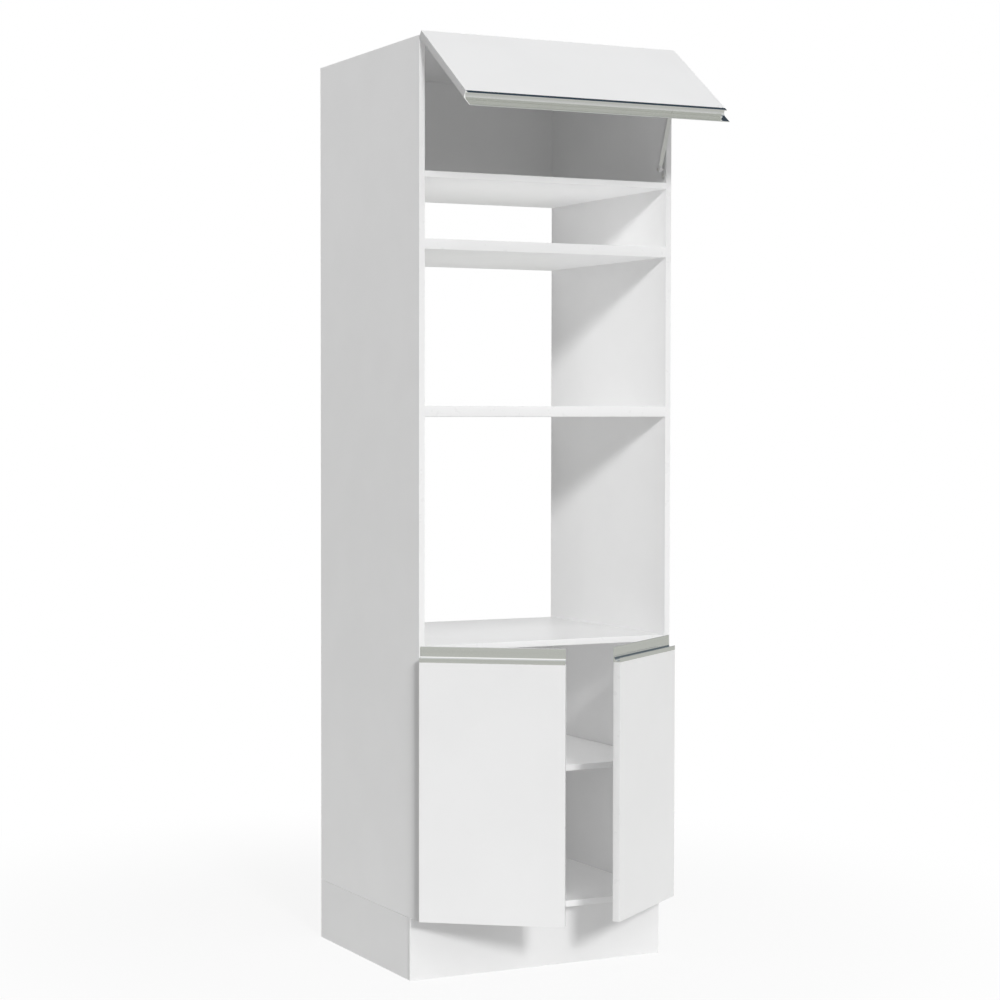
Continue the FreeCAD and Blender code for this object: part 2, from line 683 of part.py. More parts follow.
def export_carcass():
    for name, side in SIDES.items():
        export(name + "_side_panel", [side_panel(side)])
    for name in FIXED_BOARDS:
        export(name, [fixed_board(name)])
    sheet_x = INNER + BACK_REBATE - REBATE_PLAY
    for name, z in BACK_SHEETS.items():
        export(name, [block((-sheet_x, sheet_x), (-BACK_SHEET, 0), z)])
    shelf_x = INNER - SHELF_PLAY
    shelf_y = (FRONT + SHELF_SETBACK, -BACK_SHEET - SHELF_PLAY)
    export("cupboard_shelf", [block((-shelf_x, shelf_x), shelf_y, (SHELF_Z, SHELF_Z + BOARD))])
    pins = [shelf_pin(side, row) for side in SIDES.values() for row in SHELF_PIN_ROWS]
    export("shelf_pins", pins)
    export("cam_locks", [cam_lock(*place[1:]) for place in cam_places()])
    export("cam_bolts", [cam_bolt(*place[1:]) for place in cam_places()])


# Plinth and wall angles


def corner_block(x, y, x_inward, y_inward):
    """Three-cornered block glued into a corner of the plinth."""
    base_z = PLINTH_HEIGHT - CORNER_BLOCK_HEIGHT
    corner = Vector(x, y, base_z)
    along_x = corner + Vector(x_inward * CORNER_BLOCK_LEG, 0, 0)
    along_y = corner + Vector(0, y_inward * CORNER_BLOCK_LEG, 0)
    face = Part.Face(Part.makePolygon([corner, along_x, along_y, corner]))
    return face.extrude(Vector(0, 0, CORNER_BLOCK_HEIGHT))


def export_plinth():
    z = (0, PLINTH_HEIGHT)
    front_y = FRONT + PLINTH_RECESS
    inner_y = front_y + BOARD
    export("plinth_front_board", [block((-HALF, HALF), (front_y, inner_y), z)])
    export("plinth_rear_board", [block((-INNER, INNER), (-BOARD, 0), z)])
    for name, side in SIDES.items():
        export("plinth_" + name + "_board", [block((side * INNER, side * HALF), (inner_y, 0), z)])
    blocks = [
        corner_block(side * INNER, y, -side, inward)
        for side in SIDES.values()
        for y, inward in ((inner_y, 1), (-BOARD, -1))
    ]
    export("plinth_corner_blocks", blocks)


def wall_angle(x):
    """Bent steel angle on the top panel, with one wall hole; its section is drawn in Y and Z."""

    def at(depth, rise):
        return Vector(x - ANGLE_WIDTH / 2, -depth, HEIGHT + rise)

    bend = ANGLE_SHEET + ANGLE_BEND_RADIUS
    middle = bend - ANGLE_BEND_RADIUS * math.sqrt(0.5)
    edges = [
        line(at(0, 0), at(0, ANGLE_UPSTAND)),
        line(at(0, ANGLE_UPSTAND), at(ANGLE_SHEET, ANGLE_UPSTAND)),
        line(at(ANGLE_SHEET, ANGLE_UPSTAND), at(ANGLE_SHEET, bend)),
        arc(at(ANGLE_SHEET, bend), at(middle, middle), at(bend, ANGLE_SHEET)),
        line(at(bend, ANGLE_SHEET), at(ANGLE_LEG, ANGLE_SHEET)),
        line(at(ANGLE_LEG, ANGLE_SHEET), at(ANGLE_LEG, 0)),
        line(at(ANGLE_LEG, 0), at(0, 0)),
    ]
    angle = Part.Face(Part.Wire(edges)).extrude(Vector(ANGLE_WIDTH, 0, 0))
    hole = Vector(x, 0, HEIGHT + ANGLE_HOLE_RISE)
    return angle.cut(bar(ANGLE_HOLE_RADIUS, hole - Vector(0, ANGLE_SHEET, 0), hole))


def export_wall_angles():
    export("wall_angles", [wall_angle(x) for x in (-ANGLE_SPACING / 2, ANGLE_SPACING / 2)])


def main():
    os.makedirs("parts", exist_ok=True)
    export_plinth()
    export_carcass()
    export_doors()
    export_flap()
    export_stay()
    export_wall_angles()


main()
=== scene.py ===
"""Finishes, small fittings and stage of an oven housing cabinet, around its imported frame."""

import json
import math

import bmesh
import bpy
import numpy as np
from bpy.props import FloatProperty, FloatVectorProperty, IntProperty, PointerProperty
from mathutils import Matrix, Vector


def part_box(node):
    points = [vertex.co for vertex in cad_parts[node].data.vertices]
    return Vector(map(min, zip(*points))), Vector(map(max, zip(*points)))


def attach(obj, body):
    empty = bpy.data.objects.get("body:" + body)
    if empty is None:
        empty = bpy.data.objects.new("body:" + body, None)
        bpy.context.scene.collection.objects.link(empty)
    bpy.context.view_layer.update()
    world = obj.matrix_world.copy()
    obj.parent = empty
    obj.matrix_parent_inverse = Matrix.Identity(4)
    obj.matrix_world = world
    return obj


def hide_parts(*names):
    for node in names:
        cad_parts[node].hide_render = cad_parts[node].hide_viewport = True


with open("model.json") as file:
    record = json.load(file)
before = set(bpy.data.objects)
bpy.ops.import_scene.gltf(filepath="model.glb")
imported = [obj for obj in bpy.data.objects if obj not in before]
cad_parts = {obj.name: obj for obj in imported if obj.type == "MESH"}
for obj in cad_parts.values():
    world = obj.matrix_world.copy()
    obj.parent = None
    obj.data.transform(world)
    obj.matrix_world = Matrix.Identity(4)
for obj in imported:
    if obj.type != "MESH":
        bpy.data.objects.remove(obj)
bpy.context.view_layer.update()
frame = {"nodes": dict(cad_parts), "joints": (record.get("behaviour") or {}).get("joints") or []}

bl_info = {
    "name": "Oven housing cabinet",
    "version": (1, 0, 0),
    "blender": (4, 5, 0),
    "location": "3D View > Sidebar > Cabinet",
    "description": "Finishes, small fittings and stage of an oven housing cabinet",
    "category": "Object",
}

MM = 0.001
WELD = 0.001 * MM
JOINT_OF = {joint["child"]: joint for joint in frame["joints"]}

# Fronts: the body that each one is, and the turn of its hinges about Y
FRONTS = {"left": ("left_door", 0), "right": ("right_door", 180), "flap": ("flap", 90)}
SIDE_PANELS = ("left_side_panel", "right_side_panel")
FIXED_BOARDS = (
    "top_panel",
    "top_compartment_shelf",
    "tray_shelf",
    "microwave_shelf",
    "oven_floor",
    "cupboard_bottom",
)
CARCASS_BOARDS = (*SIDE_PANELS, *FIXED_BOARDS, "cupboard_shelf")
CAMS_BELOW = ("oven_floor", "cupboard_bottom")
PLINTH_BOARDS = ("plinth_front_board", "plinth_rear_board")
BACK_SHEETS = ("top_back_sheet", "cupboard_back_sheet")
PLINTH_SIDES = ("plinth_left_board", "plinth_right_board")
UPRIGHTS = (*SIDE_PANELS, "plinth_sides", "plinth_edging")
LIT_FROM_BELOW = ("top_compartment_shelf", "tray_shelf", "microwave_shelf", "oven_floor")

# Parts of a direction between which the mirrored surroundings change: floor, horizon, zenith, dim side
# and two patches, which each lie in one direction
FLOOR_TO_HORIZON = (0.0, 0.10)
HORIZON_TO_ZENITH = (0.25, 0.70)
LIGHT_TO_DIM = (0.55, 0.90)
PATCH_TOWARDS = (0.43, 0.23, 0.87)
PATCH_EDGE = (0.86, 0.94)
PALE_TOWARDS = (0.504, -0.864, 0.0)
PALE_EDGE = (0.90, 0.945)

# Powers that spread or gather the soft light of one side
BROAD = 2
GATHERED = 6

# Directions that faces look in, and no turn
AHEAD = (0, -1, 0)
REARWARD = (0, 1, 0)
STILL = Matrix()

# Depth of the groove under the side panels and thickness of the plinth's end strips, in millimetres
GROOVE_DEPTH = 3.0
PLINTH_STRIP = 0.04

# Hinge sizes from the pin, in millimetres: X to the free edge, Y into the cabinet, Z along the pin
PIN_HALF = 8.0
CUP_X = 18.0
CUP_FACE = 4.2
CUP_OUTER = 17.4
CUP_INNER = 16.4
CUP_DEPTH = 12.5
CUP_RIM = 19.4
FLANGE = 1.2
WING_X = 27.5
WING_HALF = (6.5, 30.0)
WING_CORNER = 4.0
NECK_SLOT = 4.4
NECK_ROOM = 0.3
NECK_LEVEL = -7.5
CUP_FLOOR = -11.5
CUP_ROUND = 0.5
BOWL_ROUND = (0.9, 3.0)
LUG_HALF = 1.9
LUG_LENGTH = 6.5
CUP_SCREW_Z = 24.0
PLATE_WING_TOP = 12.5
PLATE_ROW = 43.2
PLATE_SCREW_Z = 18.0
ARM_TOP = 22.5
ARM_SCREW_ROWS = (27.0, 57.0)

# Screw heads in millimetres. A cross recess has its arm and slope as parts of its reach. In a head, its
# reach is a part of the radius, and its depth and the level that it starts from are parts of the height
SCREW_RISE = 1.3
SETTING_RADIUS = 3.0
SETTING_RISE = 0.9
CROSS_ARM = 0.26
CROSS_SLOPE = 0.10
CROSS_SHALLOWS = 0.5
HEAD_FALL = 0.6
HEAD_RECESS = (0.62, 0.75, 0.2)
RECESS_RINGS = 15

# Cams and nails in millimetres. A cam's cross has its reach as a part of the radius, and the level that it
# starts from as a part of the rim
CAM_X = 311.0
CAM_ROWS = (-510.0, -70.0)
CAM_BODY = 7.4
CAM_DEPTH = 12.4
CAM_RIM = 0.5
CAM_ROUND = 0.4
CAM_CROSS = (0.6, 0.9)
CAM_RECESS = 2.4
NAIL_RISE = 0.3
NAIL_ROUND = 0.2
NAIL_SIDES = 12

# Shelf pins in millimetres, and the upright part of a bumper's height
SHELF_PIN = 2.5
SHELF_PIN_COLLAR = 4.0
SHELF_PIN_BITE = 8.0
SHELF_PIN_REACH = 8.0
SHELF_PIN_ROUND = 0.6
COLLAR_ROUND = 0.3
SHELF_PIN_ROWS = (-520.0, -60.0)
PAD_WALL = 0.3

# Stay in millimetres, along it from its foot, and the screws of its brackets and of the wall angles
TUBE_RADIUS = 6.5
TUBE_ENDS = (10.0, 152.0)
TUBE_ROUND = 1.5
CRIMP_AT = 141.0
CRIMP_HALF = 1.6
CRIMP_DEPTH = 0.7
GLAND_RADIUS = 5.2
GLAND_RISE = 1.6
GLAND_ROUND = 0.6
GLAND_DEPTH = 1.0
STAY_ROD = 3.1
STUD_CAP = 3.6
STUD_CAP_RISE = (0.9, 1.1)
STUD_CAP_ROUND = 0.7
BRACKET_PLATE = 1.5
FOOT_SCREWS = 16.0
HEAD_SCREWS = 10.0
HEAD_SCREW_INSET = 5.0
ANGLE_HALF = 15.0
ANGLE_SHEET = 2.0

# Handle rail section in millimetres: depth from the face, rise beyond the board's edge
RAIL_DEPTH = 18.0
RAIL_WALL = 1.8
RAIL_BASE = 2.0
RAIL_LIP = 11.0
RAIL_WING = 37.0
RAIL_COVE = 12.0
RAIL_TOE = 1.5
RAIL_HEEL = 0.4
RAIL_INSET = 0.25
RAIL_STEPS = 6
RAIL_COVE_STEPS = 20

# Points on the curves of other sections
EDGING_STEPS = 5
LUG_STEPS = 12
TUBE_STEPS = 6
CRIMP_STEPS = 13
PAD_STEPS = 8

# Finishes: the part of a noise that a ramp spreads, the depth at the wall that is left raw, in millimetres,
# the stretch of the raw board's flakes, the roughness of the raw faces, and the tone of the palest fibres
SPREAD = (0.3, 0.7)
RAW_LAYER = 0.4
FLAKE_STRETCH = (0.35, 1.0, 0.35)
RAW_BOARD = 0.85
RAW_SHEET = 0.75
PALE_FIBRE = 1.7

# Camera's sensor in millimetres, and the distances in metres over which the floor's shadow fades
SENSOR = 36.0
SHADE_FADE = (0.6, 2.0)


# Values that a user would change


def colour(name, description, default):
    """Colour property."""
    return FloatVectorProperty(
        name=name, description=description, default=default, size=3, min=0, max=1, subtype="COLOR"
    )


def length(name, description, default):
    """Length property, in metres."""
    return FloatProperty(name=name, description=description, default=default, unit="LENGTH", precision=5)


def share(name, description, default):
    """Property from 0 to 1."""
    return FloatProperty(
        name=name, description=description, default=default, min=0, max=1, subtype="FACTOR"
    )


def strength(name, description, default):
    """Strength of a lamp or of the ambient light."""
    return FloatProperty(name=name, description=description, default=default, min=0)


def angle(name, description, default):
    """Angle property, given in degrees."""
    return FloatProperty(
        name=name, description=description, default=math.radians(default), subtype="ANGLE", unit="ROTATION"
    )


def place(name, description, default):
    """Point property, in metres."""
    return FloatVectorProperty(
        name=name, description=description, default=default, size=3, subtype="XYZ", unit="LENGTH"
    )


class CabinetColours(bpy.types.PropertyGroup):
    """Colours of the cabinet's finishes."""

    board: colour("Board", "White melamine of the carcass", (0.89, 0.89, 0.89))
    # Set lighter than the carcass board's white: painted light on the doors and the flap, standing in for
    # light that the lamps leave short there
    front: colour("Fronts", "White melamine of the doors and the flap", (0.95, 0.95, 0.95))
    # Set darker than the carcass board's white: painted shade on the plinth, standing in for less light
    # there
    plinth: colour("Plinth", "White melamine of the plinth", (0.86, 0.86, 0.86))
    edging: colour("Edging", "White strip on the boards' edges", (0.92, 0.92, 0.92))
    chip_light: colour("Chips", "Pale chips of the raw board", (0.55, 0.41, 0.26))
    chip_dark: colour("Chip gaps", "Dark chips of the raw board", (0.27, 0.17, 0.09))
    hardboard: colour("Hardboard", "Raw rear face of the back sheets", (0.26, 0.15, 0.08))
    pine_light: colour("Pine", "Early wood of the corner blocks", (0.66, 0.47, 0.27))
    pine_dark: colour("Pine grain", "Late wood of the corner blocks", (0.42, 0.24, 0.11))
    rail: colour("Rail", "Anodised aluminium of the handle rails", (0.95, 0.955, 0.94))
    nickel: colour("Nickel", "Plating of the hinges and brackets", (0.74, 0.73, 0.70))
    zinc: colour("Zinc", "Plating of the cams, bolts and wall angles", (0.60, 0.62, 0.64))
    steel: colour("Steel", "Ground rod of the stay", (0.72, 0.72, 0.73))
    tube: colour("Tube", "Light metal of the stay's tube", (0.90, 0.90, 0.90))
    socket: colour("Socket", "Moulded ends of the stay", (0.80, 0.80, 0.80))
    pad: colour("Pad", "Clear soft bumpers", (0.88, 0.88, 0.87))


class CabinetSizes(bpy.types.PropertyGroup):
    """Sizes of the pieces that are made here."""

    edging: length("Edging", "Thickness of the edging strips", 0.00035)
    arris: length("Arris", "Rounding of small plates", 0.0004)
    groove: length("Groove", "Height of the groove between plinth and side panels", 0.0014)
    screw: length("Screw head", "Radius of the wood screws' heads", 0.0036)
    nail: length("Nail head", "Radius of the back sheets' nails", 0.0014)
    nail_step: length("Nail step", "Greatest distance between nails", 0.115)
    nail_inset: length("Nail inset", "Nails' distance from the sheet's edge", 0.005)
    cam: length("Cam", "Radius of the cams' rim", 0.0083)
    turn_sides: IntProperty(name="Sides", description="Sides of turned pieces", default=48, min=12)


class CabinetStage(bpy.types.PropertyGroup):
    """Camera, lamps and ground."""

    camera: place("Camera", "Where the camera stands", (-2.77739, -5.54081, 1.35053))
    yaw: angle("Yaw", "Turn of the view to the right of the depth axis", 25.605)
    pitch: angle("Pitch", "Tilt of the view below the horizon", 1.9595)
    lens: FloatProperty(name="Lens", description="Focal length", default=83.742, unit="CAMERA")
    shift: FloatProperty(name="Shift", description="Sideways shift of the frame", default=0.1)
    behind: strength("Behind", "Soft light from behind", 0.70)
    beside: strength("Beside", "Soft light from the right", 0.30)
    ahead: strength("Ahead", "Soft light from above the front", 1.85)
    key: strength("Key", "Lamp in front, above and a little to the left", 1.28)
    graze: strength("Graze", "Lamp along the side panels, from the same place as the key", 6.3)
    key_from: place("Key from", "Direction that both of them shine along", (0.13, 1.0, -0.433))
    key_size: angle("Key size", "Angle that both of them fill", 8.5)
    fill: strength("Fill", "Light from overhead on all but the oven floor, without shadow", 0.39)
    bounce: strength("Bounce", "Light from below on the shelves, without shadow", 0.55)
    inside: strength("Inside", "Lamp within the lower cupboard, on the side panels", 0.38)
    inside_at: place("Inside at", "Where that lamp hangs", (0.0, -0.33, 0.32))
    inside_size: length("Inside size", "Radius of that lamp", 0.08)
    zenith: colour("Zenith", "What the metal reflects from overhead", (0.50, 0.52, 0.54))
    patch: colour("Dark patch", "What the metal reflects from high up behind", (0.044, 0.060, 0.079))
    horizon: colour("Horizon", "What the metal reflects from the side", (1.0, 1.0, 1.0))
    dim: colour("Dim side", "What the metal reflects from the right", (0.105, 0.128, 0.147))
    pale: colour("Pale patch", "What the metal reflects from the front right", (0.54, 0.545, 0.535))
    mirrored: colour("Mirrored floor", "What the metal reflects from below", (0.476, 0.485, 0.458))
    ground: colour("Ground", "Pale floor", (0.78, 0.78, 0.78))
    shade: share("Shade", "How much of the cabinet's shadow the floor keeps", 0.12)
    ground_half: length("Ground size", "Half the floor's width", 9.0)
    bounces: IntProperty(name="Bounces", description="How often soft light is handed on", default=8, min=0)


# Node trees


class Tree:
    """Short way to add and wire the nodes of one tree."""

    def __init__(self, tree):
        self.tree = tree

    def add(self, kind, inputs=None, **settings):
        """New node with its settings; inputs are values, or sockets to wire."""
        node = self.tree.nodes.new(kind)
        for name, value in settings.items():
            setattr(node, name, value)
        for name, value in (inputs or {}).items():
            self.feed(node.inputs[name], value)
        return node

    def feed(self, socket, value):
        if isinstance(value, bpy.types.NodeSocket):
            self.tree.links.new(value, socket)
        else:
            socket.default_value = value

    def maths(self, operation, *values):
        """Result of a Math node."""
        inputs = dict(enumerate(values))
        return self.add("ShaderNodeMath", inputs, operation=operation).outputs[0]

    def ramp(self, value, low, high, to_low, to_high):
        """Value carried smoothly from one range to another, and held at its ends."""
        inputs = {"Value": value, "From Min": low, "From Max": high, "To Min": to_low, "To Max": to_high}
        return self.add("ShaderNodeMapRange", inputs, interpolation_type="SMOOTHSTEP").outputs["Result"]

    def blend(self, amount, first, second):
        """Colour between two colours."""
        node = self.add("ShaderNodeMix", data_type="RGBA", clamp_factor=True)
        for socket, value in ((0, amount), (6, first), (7, second)):
            self.feed(node.inputs[socket], value)
        return node.outputs[2]

    def tinted(self, tint, tone):
        """Colour times a tone."""
        return self.add("ShaderNodeVectorMath", {0: tint, "Scale": tone}, operation="SCALE").outputs[0]

    def about(self, value, noise, reach):
        """Value that a noise carries up and down by a reach."""
        return self.maths("ADD", value, self.ramp(noise, *SPREAD, -reach, reach))

    def noise(self, vector, scale, detail=3.0, roughness=0.5):
        inputs = {"Vector": vector, "Scale": scale, "Detail": detail, "Roughness": roughness}
        return self.add("ShaderNodeTexNoise", inputs).outputs["Fac"]

    def scaled(self, vector, scale):
        return self.add("ShaderNodeMapping", {"Vector": vector, "Scale": scale}).outputs["Vector"]


def rgba(value):
    return (*value, 1.0)


def effect(name, inputs, outputs, wire):
    """Shader node group with named sockets; wire returns what each output gets."""
    group = bpy.data.node_groups.new(name, "ShaderNodeTree")
    for way, sockets in (("INPUT", inputs), ("OUTPUT", outputs)):
        for socket, kind in sockets.items():
            group.interface.new_socket(name=socket, in_out=way, socket_type=kind)
    tree = Tree(group)
    given = tree.add("NodeGroupInput").outputs
    tree.add("NodeGroupOutput", wire(tree, given))
    return group


def melamine(tree, given):
    """Pressed white face: faint clouds in the tone, a fine pearl in height and gloss."""
    clouds = tree.noise(given["Vector"], 6.0, 2.0)
    pearl = tree.noise(given["Vector"], 900.0, 2.0)
    dust = tree.noise(given["Vector"], 42.0, 4.0, 0.6)
    tone = tree.ramp(clouds, 0.35, 0.65, 0.985, 1.0)
    gloss = tree.about(given["Gloss"], dust, 0.03)
    return {"Colour": tree.tinted(given["Colour"], tone), "Roughness": gloss, "Height": pearl}


def chipboard(tree, given):
    """Raw chipboard edge: flakes of two tones in cells drawn out along the board."""
    cells = tree.add("ShaderNodeTexVoronoi", {"Vector": given["Vector"], "Scale": 620.0})
    fine = tree.noise(given["Vector"], 1500.0, 3.0)
    flakes = tree.maths("MULTIPLY", cells.outputs["Distance"], tree.ramp(fine, 0.2, 0.8, 0.5, 1.5))
    tint = tree.blend(tree.ramp(flakes, 0.15, 0.75, 0.0, 1.0), given["Light"], given["Dark"])
    return {"Colour": tint, "Height": flakes}


def drawn(tree, given):
    """Fine lines left by drawing or grinding, along U and across V, in metres."""
    lines = tree.noise(tree.scaled(given["Vector"], (2.0, 2600.0, 2600.0)), 1.0, 4.0, 0.6)
    bands = tree.noise(tree.scaled(given["Vector"], (0.6, 260.0, 260.0)), 1.0, 2.0)
    gloss = tree.about(given["Gloss"], lines, 0.015)
    return {"Tone": tree.ramp(bands, *SPREAD, 0.97, 1.0), "Roughness": gloss, "Height": lines}


def plated(tree, given):
    """Plated or painted metal: a fine skin and cloudy gloss."""
    clouds = tree.noise(given["Vector"], 160.0, 3.0, 0.6)
    skin = tree.noise(given["Vector"], 2400.0, 2.0)
    tone = tree.ramp(clouds, *SPREAD, 0.96, 1.0)
    gloss = tree.about(given["Gloss"], clouds, 0.03)
    return {"Colour": tree.tinted(given["Colour"], tone), "Roughness": gloss, "Height": skin}


# Shared effects: their input sockets, their output sockets and what wires them
VECTOR, VALUE, COLOUR = "NodeSocketVector", "NodeSocketFloat", "NodeSocketColor"
SKIN = (
    {"Vector": VECTOR, "Colour": COLOUR, "Gloss": VALUE},
    {"Colour": COLOUR, "Roughness": VALUE, "Height": VALUE},
)
FLAKES = (
    {"Vector": VECTOR, "Light": COLOUR, "Dark": COLOUR},
    {"Colour": COLOUR, "Height": VALUE},
)
LINES = (
    {"Vector": VECTOR, "Gloss": VALUE},
    {"Tone": VALUE, "Roughness": VALUE, "Height": VALUE},
)
EFFECTS = {
    "pressed melamine": (*SKIN, melamine),
    "raw chipboard": (*FLAKES, chipboard),
    "drawn lines": (*LINES, drawn),
    "plated skin": (*SKIN, plated),
}


def group_node(tree, name, inputs):
    """Place a shared effect, made once, in a material with that material's values."""
    group = bpy.data.node_groups.get(name) or effect(name, *EFFECTS[name])
    return tree.add("ShaderNodeGroup", inputs, node_tree=group).outputs


# Materials


def blank_material(name, **constants):
    """Material with a Principled shader whose constant sockets are set; returns both and the tree."""
    material = bpy.data.materials.new(name)
    material.use_nodes = True
    tree = Tree(material.node_tree)
    shader = material.node_tree.nodes["Principled BSDF"]
    for socket, value in constants.items():
        shader.inputs[socket.replace("_", " ")].default_value = value
    return material, tree, shader


def object_coordinates(tree):
    return tree.add("ShaderNodeTexCoord").outputs["Object"]


def surface(tree, shader, tint, roughness, height=None, relief=0.0, amount=0.5):
    """Wire a shader's colour and roughness, and a relief that is given in millimetres."""
    tree.feed(shader.inputs["Base Color"], tint)
    tree.feed(shader.inputs["Roughness"], roughness)
    if relief:
        inputs = {"Height": height, "Distance": relief * MM, "Strength": amount}
        tree.feed(shader.inputs["Normal"], tree.add("ShaderNodeBump", inputs).outputs["Normal"])


def skinned(name, effect_name, tint, gloss, relief=0.0, amount=0.5, **constants):
    """Material that is the same effect all over."""
    material, tree, shader = blank_material(name, **constants)
    values = {"Vector": object_coordinates(tree), "Colour": rgba(tint), "Gloss": gloss}
    skin = group_node(tree, effect_name, values)
    surface(tree, shader, skin["Colour"], skin["Roughness"], skin["Height"], relief, amount)
    return material


def raw_at_wall(tree, vector, face, raw, rough):
    """Mask of the faces on the wall plane, where a board is left raw, and its colour and roughness."""
    parts = tree.add("ShaderNodeSeparateXYZ", {"Vector": vector}).outputs
    rear = tree.maths("GREATER_THAN", parts["Y"], -RAW_LAYER * MM)
    roughness = tree.maths("MAXIMUM", face["Roughness"], tree.maths("MULTIPLY", rear, rough))
    return rear, tree.blend(rear, face["Colour"], raw), roughness


def melamine_material(name, white, gloss):
    """White melamine board, with its rear edge left as raw chipboard."""
    colours = bpy.context.scene.cabinet_colours
    material, tree, shader = blank_material(name)
    vector = object_coordinates(tree)
    values = {"Vector": vector, "Colour": rgba(white), "Gloss": gloss}
    face = group_node(tree, "pressed melamine", values)
    chips = {"Light": rgba(colours.chip_light), "Dark": rgba(colours.chip_dark)}
    chips["Vector"] = tree.scaled(vector, FLAKE_STRETCH)
    raw = group_node(tree, "raw chipboard", chips)["Colour"]
    _, tint, roughness = raw_at_wall(tree, vector, face, raw, RAW_BOARD)
    surface(tree, shader, tint, roughness, face["Height"], 0.02)
    return material


def back_sheet_material(name):
    """Hardboard sheet: white inside, brown and fine-meshed on the wall side."""
    colours = bpy.context.scene.cabinet_colours
    material, tree, shader = blank_material(name)
    vector = object_coordinates(tree)
    values = {"Vector": vector, "Colour": rgba(colours.board), "Gloss": 0.36}
    face = group_node(tree, "pressed melamine", values)
    fibre = tree.ramp(tree.noise(vector, 700.0, 5.0, 0.65), *SPREAD, 0.0, 1.0)
    clouds = tree.noise(tree.scaled(vector, (1.0, 1.0, 0.4)), 14.0, 4.0, 0.6)
    tone = tree.maths("MULTIPLY", fibre, tree.ramp(clouds, *SPREAD, 0.55, 1.0))
    pale = tuple(min(1.0, part * PALE_FIBRE) for part in colours.hardboard)
    brown = tree.blend(tone, rgba(colours.hardboard), rgba(pale))
    wave = {"Vector": vector, "Scale": 130.0, "Distortion": 0.4}
    mesh = tree.add("ShaderNodeTexWave", wave, bands_direction="X").outputs["Fac"]
    rear, tint, roughness = raw_at_wall(tree, vector, face, brown, RAW_SHEET)
    height = tree.maths("ADD", face["Height"], tree.maths("MULTIPLY", rear, mesh))
    surface(tree, shader, tint, roughness, height, 0.05, 0.6)
    return material


def pine_material(name):
    """Planed softwood with its grain upright."""
    colours = bpy.context.scene.cabinet_colours
    material, tree, shader = blank_material(name)
    vector = tree.scaled(object_coordinates(tree), (1.0, 1.0, 0.06))
    wave = {"Vector": vector, "Scale": 70.0, "Distortion": 5.0, "Detail": 3.0}
    rings = tree.add("ShaderNodeTexWave", wave).outputs["Fac"]
    fibre = tree.noise(vector, 900.0, 3.0)
    grain = tree.maths("MULTIPLY", rings, tree.ramp(fibre, 0.2, 0.8, 0.7, 1.0))
    tint = tree.blend(grain, rgba(colours.pine_light), rgba(colours.pine_dark))
    surface(tree, shader, tint, tree.ramp(fibre, *SPREAD, 0.55, 0.75), grain, 0.08)
    return material


def rail_material(name):
    """Satin anodised aluminium with the lines of its extrusion along the rail."""
    material, tree, shader = blank_material(name, Metallic=1.0)
    vector = tree.add("ShaderNodeTexCoord").outputs["UV"]
    lines = group_node(tree, "drawn lines", {"Vector": vector, "Gloss": 0.12})
    tint = tree.tinted(tuple(bpy.context.scene.cabinet_colours.rail), lines["Tone"])
    surface(tree, shader, tint, lines["Roughness"], lines["Height"], 0.003)
    return material


def metal_material(name, tint, gloss):
    """Plated or bare metal."""
    return skinned(name, "plated skin", tint, gloss, 0.004, 0.4, Metallic=1.0)


def finish_of(name):
    """The cabinet's finishes by name, each made once."""
    known = bpy.data.materials.get(name)
    if known:
        return known
    colours = bpy.context.scene.cabinet_colours
    makers = {
        "white carcass board": lambda: melamine_material(name, colours.board, 0.34),
        # The fronts' lighter white is painted light
        "white front board": lambda: melamine_material(name, colours.front, 0.32),
        # The plinth's darker white is painted shade
        "white plinth board": lambda: melamine_material(name, colours.plinth, 0.36),
        "white edging": lambda: skinned(name, "pressed melamine", colours.edging, 0.30, 0.015),
        # The plinth's darker white is painted shade
        "white plinth face": lambda: skinned(name, "pressed melamine", colours.plinth, 0.36, 0.02),
        "white back sheet": lambda: back_sheet_material(name),
        "planed pine": lambda: pine_material(name),
        "anodised rail": lambda: rail_material(name),
        "nickel plate": lambda: metal_material(name, colours.nickel, 0.28),
        "zinc plate": lambda: metal_material(name, colours.zinc, 0.36),
        "ground steel": lambda: metal_material(name, colours.steel, 0.12),
        "light metal": lambda: metal_material(name, colours.tube, 0.34),
        "socket plastic": lambda: skinned(name, "plated skin", colours.socket, 0.5, 0.05),
        "clear pad": lambda: skinned(
            name, "plated skin", colours.pad, 0.28, Transmission_Weight=0.55, IOR=1.46
        ),
    }
    return makers[name]()


def dress(node, finish):
    """Give a carried-over node its finish."""
    slots = frame["nodes"][node].data.materials
    slots.clear()
    slots.append(finish_of(finish))


# Shapes: each one is an array of points, in millimetres, and an array of four-cornered faces


def grid_faces(rows, columns):
    """Corners of the faces of a grid whose columns close into a ring."""
    row = np.arange(rows - 1)[:, None]
    column = np.arange(columns)[None, :]
    following = (column + 1) % columns
    corners = [row * columns + column, row * columns + following]
    corners += [(row + 1) * columns + following, (row + 1) * columns + column]
    return np.stack(corners, axis=-1).reshape(-1, 4)


def turned(profile, sides):
    """Profile of radius and height turned about Z: (r cos a, r sin a, h); its ends lie on the axis."""
    radius, height = np.asarray(profile, float).T[:, :, None]
    around = np.arange(sides) * (2 * np.pi / sides)
    parts = np.broadcast_arrays(radius * np.cos(around), radius * np.sin(around), height)
    return np.stack(parts, axis=-1).reshape(-1, 3), grid_faces(len(radius), sides)


def quarter(start_radius, height, size, steps=5):
    """Rounded arris of a turned profile, from the wall at a radius to the face at a height."""
    turn = np.linspace(0, np.pi / 2, steps)
    return np.column_stack([start_radius - size * (1 - np.cos(turn)), height - size * (1 - np.sin(turn))])


